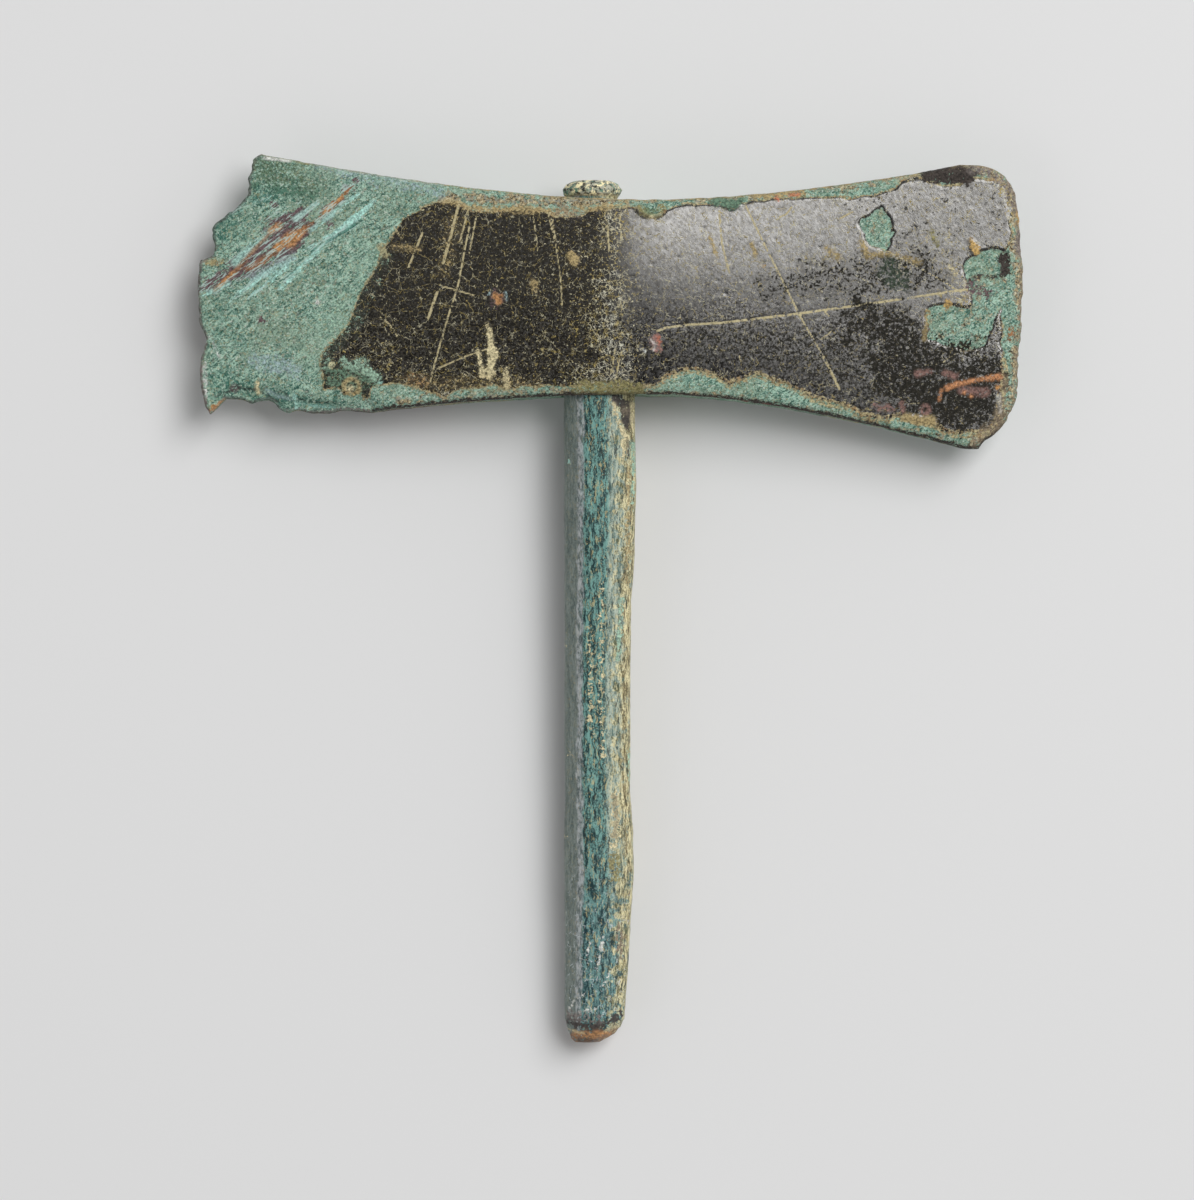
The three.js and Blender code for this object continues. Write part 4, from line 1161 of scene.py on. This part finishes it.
def mottle(n):
    """Weathered crust of the borders: brown, tan, grey and pale green grains."""
    colour = n.tones(n.noise(0.3, 3, 0.7, seed=21), 0.4, 0.58, (58, 50, 40), (176, 160, 124))
    colour = n.over(colour, n.step(n.noise(0.4, 2, seed=22), 0.52, 0.6), 0.8, (146, 150, 138))
    return n.over(colour, n.step(n.noise(0.36, 2, seed=23), 0.56, 0.64), 0.8, (216, 206, 172))


def tan_crust(n, grain):
    colour = n.tones(grain, 0.35, 0.65, (98, 84, 54), (216, 202, 156))
    return n.over(colour, n.step(n.noise(0.6, 2, seed=7), 0.5, 0.65), 0.5, (160, 118, 74))


def dirt_on_black(n, dust):
    """Fine tan dirt held by the black patina: a crackle net, specks and short hairs."""
    grown = n.warped(0.6, 0.45)
    patches = n.add(n.noise(2.4, 3, 0.6, seed=8), dust)
    left = n.step(n.x, 6.0, -6.0, 0.0, 0.03)
    far_left = n.step(n.x, -9.0, -17.0)
    whole = n.step(n.add(n.noise(0.8, 3, 0.7, seed=18), n.times(far_left, 0.04)), 0.475, 0.575)
    coarse_net = n.crackle(2.1, 0.014, grown)
    net = n.times(n.most(coarse_net, n.crackle(1.2, 0.018, n.warped(0.6, 0.45, grown))), whole)
    fine_net = n.times(n.crackle(0.7, 0.05, grown), n.step(patches, 0.64, 0.86))
    specks = n.times(n.step(n.cells(0.42, grown), 0.24, 0.12), n.step(n.add(patches, left), 0.50, 0.78))
    many = n.add(n.noise(0.3, 2, 0.7, grown, 11), n.times(dust, 0.22), left, n.times(far_left, -0.012))
    flecks = n.step(many, 0.682, 0.71)
    return n.most(n.times(net, 0.75), n.times(fine_net, 0.8), n.times(specks, 0.9), flecks)


def black_patina(n):
    """The black and how brown it is: smooth above and to the right, worn below, brown on the left."""
    rubbed = n.step(n.mix(0.6, n.noise(0.14, 3, 0.7, seed=19), n.noise(0.3, 3, 0.7, seed=30)), 0.42, 0.58)
    wrinkled = n.step(n.noise(0.26, 4, 0.7, n.drawn_out(n.leaning, 1.0, 0.45), 31), 0.36, 0.62)
    worn = n.step(n.add(n.y, n.times(n.noise(6.0, 3, seed=32), 6.0)), 4.5, -1.0)
    smooth = n.mix(wrinkled, BLACK_DARK, BLACK_LIGHT)
    black = n.mix(worn, smooth, n.mix(rubbed, GRAINY_DARK, GRAINY_LIGHT))
    pitted = n.add(n.noise(4.0, 2, seed=24), n.step(n.x, 26.0, 38.0, 0.0, 0.2))
    pits_there = n.times(n.step(n.noise(0.5, 2, 0.6, seed=27), 0.61, 0.66), n.step(pitted, 0.5, 0.7))
    black = n.mix(n.times(pits_there, 0.9), black, PIT_BLACK)
    brown = n.times(n.step(n.noise(0.3, 3, 0.7, seed=28), 0.3, 0.5), n.step(n.x, 5.0, -1.0))
    return n.mix(n.times(brown, 0.85), black, n.mix(rubbed, srgb(14, 11, 6), srgb(42, 37, 24))), brown


def pale_dirt(n, dust):
    """Colour of the dirt on the black, whitish where it lies thick."""
    colour = n.tones(n.noise(0.6, 2, seed=16), 0.4, 0.6, (172, 154, 94), (206, 200, 170))
    whitish = n.times(n.step(dust, 0.3, 0.5), n.step(n.noise(1.2, 2, seed=33), 0.45, 0.55))
    return n.mix(whitish, colour, srgb(220, 222, 212))


def head_material():
    n = Nodes("head_bronze")
    grain = n.noise(0.28, 3, 0.7)
    coarse_grain = n.noise(0.4, 3, 0.7, seed=12)
    dust = n.field("dust")

    black_depth = n.add(n.field("patina"), n.swing(n.noise(0.6, 4, 0.7), 0.7))
    is_black = n.step(black_depth, -0.04, 0.04)
    black, brown = black_patina(n)
    dirt = dirt_on_black(n, dust)
    colour = n.mix(is_black, green_corrosion(n, dust), n.mix(dirt, black, pale_dirt(n, dust)))

    crust_edge = n.math("SUBTRACT", n.field("crust"), n.math("ABSOLUTE", n.add(black_depth, 0.04)))
    crust = n.times(n.step(crust_edge, -0.04, 0.04), n.step(coarse_grain, 0.42, 0.52))
    colour = n.mix(n.times(crust, 0.85), colour, tan_crust(n, grain))

    broken = n.step(n.noise(0.5, 2, seed=17), 0.34, 0.5)
    in_scratch = n.times(n.step(n.add(n.field("scratch"), n.swing(grain, 0.12)), -0.025, 0.025), broken)
    colour = n.mix(n.times(in_scratch, 0.9), colour, n.mix(grain, srgb(150, 132, 84), srgb(232, 222, 182)))

    mottled = n.step(grain, 0.3, 0.7, 0.4, 1.5)
    mark_paint = n.field("mark_paint", "Alpha")
    mark_cover = n.speckled(mark_paint, n.mix(0.35, coarse_grain, n.noise(0.24, 3, 0.75, seed=29)))
    mark_cover = n.most(mark_cover, n.times(mark_paint, 0.3))
    colour = n.marked(colour, "mark_paint", mark_cover, mottled)

    along = n.drawn_out(n.leaning, 0.12, 1.0)
    streak = n.field("streak", "Alpha")
    streaked = n.speckled(streak, n.mix(0.35, n.noise(0.3, 4, 0.75, along), coarse_grain))
    colour = n.marked(colour, "streak", streaked, mottled)
    pale_grains = n.times(n.step(n.noise(0.3, 3, 0.7, along, 25), 0.54, 0.6), n.step(streak, 0.1, 0.4))
    colour = n.over(colour, pale_grains, 0.7, (190, 216, 208))

    covered = n.most(dirt, crust, in_scratch, mark_cover, streaked, n.times(brown, 0.6))
    clean_black = n.times(is_black, n.rest(covered))
    gloss = n.step(n.noise(0.6, 3, 0.6, seed=14), 0.35, 0.75, 0.21, 0.30)
    fine_grain = n.noise(0.18, 2, 0.6, seed=15)
    heights = n.add(n.times(fine_grain, 0.4), n.times(coarse_grain, 0.5), n.times(covered, 0.3))
    n.set(Base_Color=colour, Specular_IOR_Level=0.2, Metallic=n.times(clean_black, 0.9),
          Roughness=n.add(n.times(clean_black, gloss), n.times(n.rest(clean_black), 0.8)),
          Normal=n.bump(n.times(heights, n.step(is_black, 0, 1, 1.0, 0.2)), 0.6, 0.1))
    return n.material


def knob_colour(n, grain):
    """The hammered end of the shaft: cream, grey and teal grains between dark ones."""
    colour = n.tones(n.noise(0.45, 3, 0.7, seed=4), 0.42, 0.56, (40, 42, 34), (180, 180, 160))
    colour = n.mix(n.step(n.noise(0.8, 3, 0.7, seed=6), 0.52, 0.6), colour, srgb(104, 142, 122))
    colour = n.mix(n.step(n.noise(0.6, 3, 0.7, seed=7), 0.52, 0.58), colour, srgb(250, 238, 190))
    low = n.times(n.step(n.add(n.y, grain), 13.2, 12.7), 0.8)
    return n.mix(low, colour, n.tones(grain, 0.4, 0.6, (120, 92, 66), (228, 208, 164)))


def shaft_material():
    n = Nodes("shaft_bronze")
    grain = n.noise(0.3, 3, 0.7)
    long_run = n.drawn_out(n.warped(0.9, 0.6), 1.0, 0.17)
    streaks = n.mix(0.2, n.noise(0.4, 5, 0.8, long_run), n.noise(0.2, 2, 0.7, seed=9))
    across = n.add(n.field("across"), n.swing(n.noise(1.6, 3), 0.2))
    lower = n.step(n.y, -62.0, -78.0)

    teal = n.tones(streaks, 0.44, 0.56, (6, 48, 50), (118, 166, 158))
    teal = n.mix(n.times(lower, 0.6), teal, n.tones(streaks, 0.42, 0.58, (16, 56, 64), (112, 150, 152)))
    grey = n.tones(streaks, 0.38, 0.62, (84, 100, 96), (140, 150, 144))
    colour = n.mix(n.step(across, -0.6, -0.5), grey, teal)
    # Lighter grey-green on the facets right of the upper flat: partly a paler tone of the corrosion there,
    # partly painted light on the facets that face the key light.
    pale = n.tones(streaks, 0.4, 0.6, (84, 112, 106), (184, 196, 180))
    colour = n.mix(n.times(n.step(across, 0.16, 0.34), n.rest(lower)), colour, pale)
    crusted = n.step(n.add(n.noise(1.2, 3, 0.7, seed=8), n.times(across, 0.2)), 0.58, 0.68)
    creamy = n.tones(streaks, 0.44, 0.56, (84, 92, 66), (222, 216, 176))
    colour = n.mix(n.times(crusted, n.step(across, 0.2, 0.5)), colour, creamy)
    # Painted highlight: a lighter, knobbly grey line along the arris at the left of the upper flat, where the
    # rounded corner catches the light.
    arris_highlight = n.step(n.math("ABSOLUTE", n.add(across, 0.54)), 0.13, 0.05)
    knobbly = n.noise(0.4, 4, 0.75, n.drawn_out(n.place, 1.0, 0.4), 10)
    colour = n.mix(n.times(arris_highlight, 0.8), colour, n.tones(knobbly, 0.38, 0.62, (84, 98, 98), (200, 204, 206)))
    broken = n.step(n.add(n.noise(1.4, 3, seed=2), n.times(lower, -0.1)), 0.35, 0.5)
    strip = n.times(n.step(across, 0.6, 0.8), broken, n.step(across, 0.92, 1.04, 0.9, 0.45))
    colour = n.mix(strip, colour, n.tones(streaks, 0.44, 0.56, (106, 92, 58), (234, 224, 178)))
    threads = n.step(n.noise(0.26, 3, 0.7, long_run, 1), 0.57, 0.62)
    colour = n.over(colour, threads, n.step(across, -0.5, -0.3, 0.15, 0.7), (196, 184, 136))
    dark = n.step(n.noise(0.34, 3, 0.7, long_run, 3), 0.57, 0.63)
    colour = n.over(colour, dark, n.step(across, -0.5, -0.3, 0.2, 0.8), (26, 44, 42))
    glints = n.times(n.crackle(1.1, 0.035, n.warped(0.5, 0.9)), n.step(n.noise(0.7, 2, seed=12), 0.5, 0.6))
    colour = n.over(colour, n.times(glints, lower), 0.85, (206, 214, 216))
    on_knob = n.step(n.y, 12.1, 12.5)
    colour = n.mix(on_knob, colour, knob_colour(n, grain))

    mark_cover = n.speckled(n.field("mark_paint", "Alpha"), n.noise(0.4, 3, 0.65, seed=5))
    colour = n.marked(colour, "mark_paint", mark_cover, n.step(grain, 0.3, 0.7, 0.5, 1.5))
    heights = n.add(n.times(streaks, 0.7), n.times(grain, 0.5))
    n.set(Base_Color=colour, Metallic=n.times(n.rest(n.most(mark_cover, on_knob)), 0.15),
          Roughness=n.step(streaks, 0.3, 0.7, 0.42, 0.68), Normal=n.bump(heights, 0.7, 0.12))
    return n.material


# ---- Build the two pieces ------------------------------------------------------------------------

def finish_piece(piece, fields, material, node):
    set_attributes(piece.data, fields)
    piece.data.polygons.foreach_set("use_smooth", np.ones(len(piece.data.polygons), bool))
    piece.data.materials.clear()
    piece.data.materials.append(material)
    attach(piece, "root")
    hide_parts(node)


def build_head():
    vertices, faces, fields = head_shape()
    head = mesh_object("bronze_head", vertices, faces)
    cut_eye(head)
    fields = nearest_fields(head.data, vertices, fields)
    finish_piece(head, fields, head_material(), "axe_head")


def build_shaft():
    vertices, faces, fields = shaft_shape()
    shaft = mesh_object("bronze_shaft", vertices, faces)
    finish_piece(shaft, fields, shaft_material(), "shaft")


# ---- Floor, light and camera ---------------------------------------------------------------------

def add_floor():
    half_size = 1500
    corners = [(half_size * x, half_size * y, 0) for x, y in ((-1, -1), (1, -1), (1, 1), (-1, 1))]
    floor = mesh_object("floor", corners, [(0, 1, 2, 3)])
    material = bpy.data.materials.new("floor_paper")
    material.use_nodes = True
    shader = material.node_tree.nodes["Principled BSDF"]
    shader.inputs["Base Color"].default_value = (0.8, 0.8, 0.8, 1)
    shader.inputs["Roughness"].default_value = 0.9
    shader.inputs["Specular IOR Level"].default_value = 0.1
    floor.data.materials.append(material)
    floor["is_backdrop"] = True


def add_softbox(name, near_edge, azimuth, depth, width, height, radiance, aside=0.0):
    """A level light that faces down. Its near edge is that many metres from the axe, at that azimuth."""
    data = bpy.data.lights.new(name, "AREA")
    data.shape, data.size, data.size_y = "RECTANGLE", depth, width
    data.energy = radiance * math.pi * depth * width
    light = bpy.data.objects.new(name, data)
    away = near_edge + depth / 2
    ahead, left = (math.cos(azimuth), math.sin(azimuth)), (-math.sin(azimuth), math.cos(azimuth))
    light.location = (*(away * a + aside * b for a, b in zip(ahead, left)), height)
    light.rotation_euler = (0, 0, azimuth)
    bpy.context.scene.collection.objects.link(light)


def add_world():
    """Dark overhead, where the camera is, and lighter towards the walls of the room."""
    world = bpy.data.worlds.new("studio")
    bpy.context.scene.world = world
    world.use_nodes = True
    tree = world.node_tree
    background = tree.nodes["Background"]
    place = tree.nodes.new("ShaderNodeTexCoord")
    split = tree.nodes.new("ShaderNodeSeparateXYZ")
    ramp = tree.nodes.new("ShaderNodeMapRange")
    for name, value in {"From Min": 0.55, "From Max": 0.9, "To Min": 0.52, "To Max": 0.08}.items():
        ramp.inputs[name].default_value = value
    tree.links.new(place.outputs["Generated"], split.inputs[0])
    tree.links.new(split.outputs["Z"], ramp.inputs["Value"])
    tree.links.new(ramp.outputs["Result"], background.inputs["Strength"])
    background.inputs["Color"].default_value = (1, 1, 1, 1)


def add_camera():
    """Straight above the middle of the frame, far enough for little perspective."""
    middle = Vector((-0.36, -36.0, 0)) * MM
    above, view_width = 650 * MM, 143.3 * MM
    data = bpy.data.cameras.new("camera")
    data.sensor_fit, data.sensor_width = "HORIZONTAL", 36.0
    data.lens = data.sensor_width * above / view_width
    data.clip_start, data.clip_end = 0.01, 10
    camera = bpy.data.objects.new("camera", data)
    camera.location = middle + Vector((0, 0, above + MIDDLE_Z * MM))
    bpy.context.scene.collection.objects.link(camera)
    bpy.context.scene.camera = camera


build_head()
build_shaft()
add_floor()
add_softbox("key", near_edge=0.51, azimuth=math.radians(52), depth=2.4, width=1.35, height=2.0,
            radiance=6.1, aside=-0.3)
add_softbox("fill", near_edge=0.7, azimuth=math.radians(215), depth=0.5, width=0.8, height=0.8,
            radiance=0.5)
add_world()
add_camera()
bpy.context.scene.view_settings.view_transform = "Standard"

[[list(corner) for corner in box] for box in (cad_box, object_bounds())]
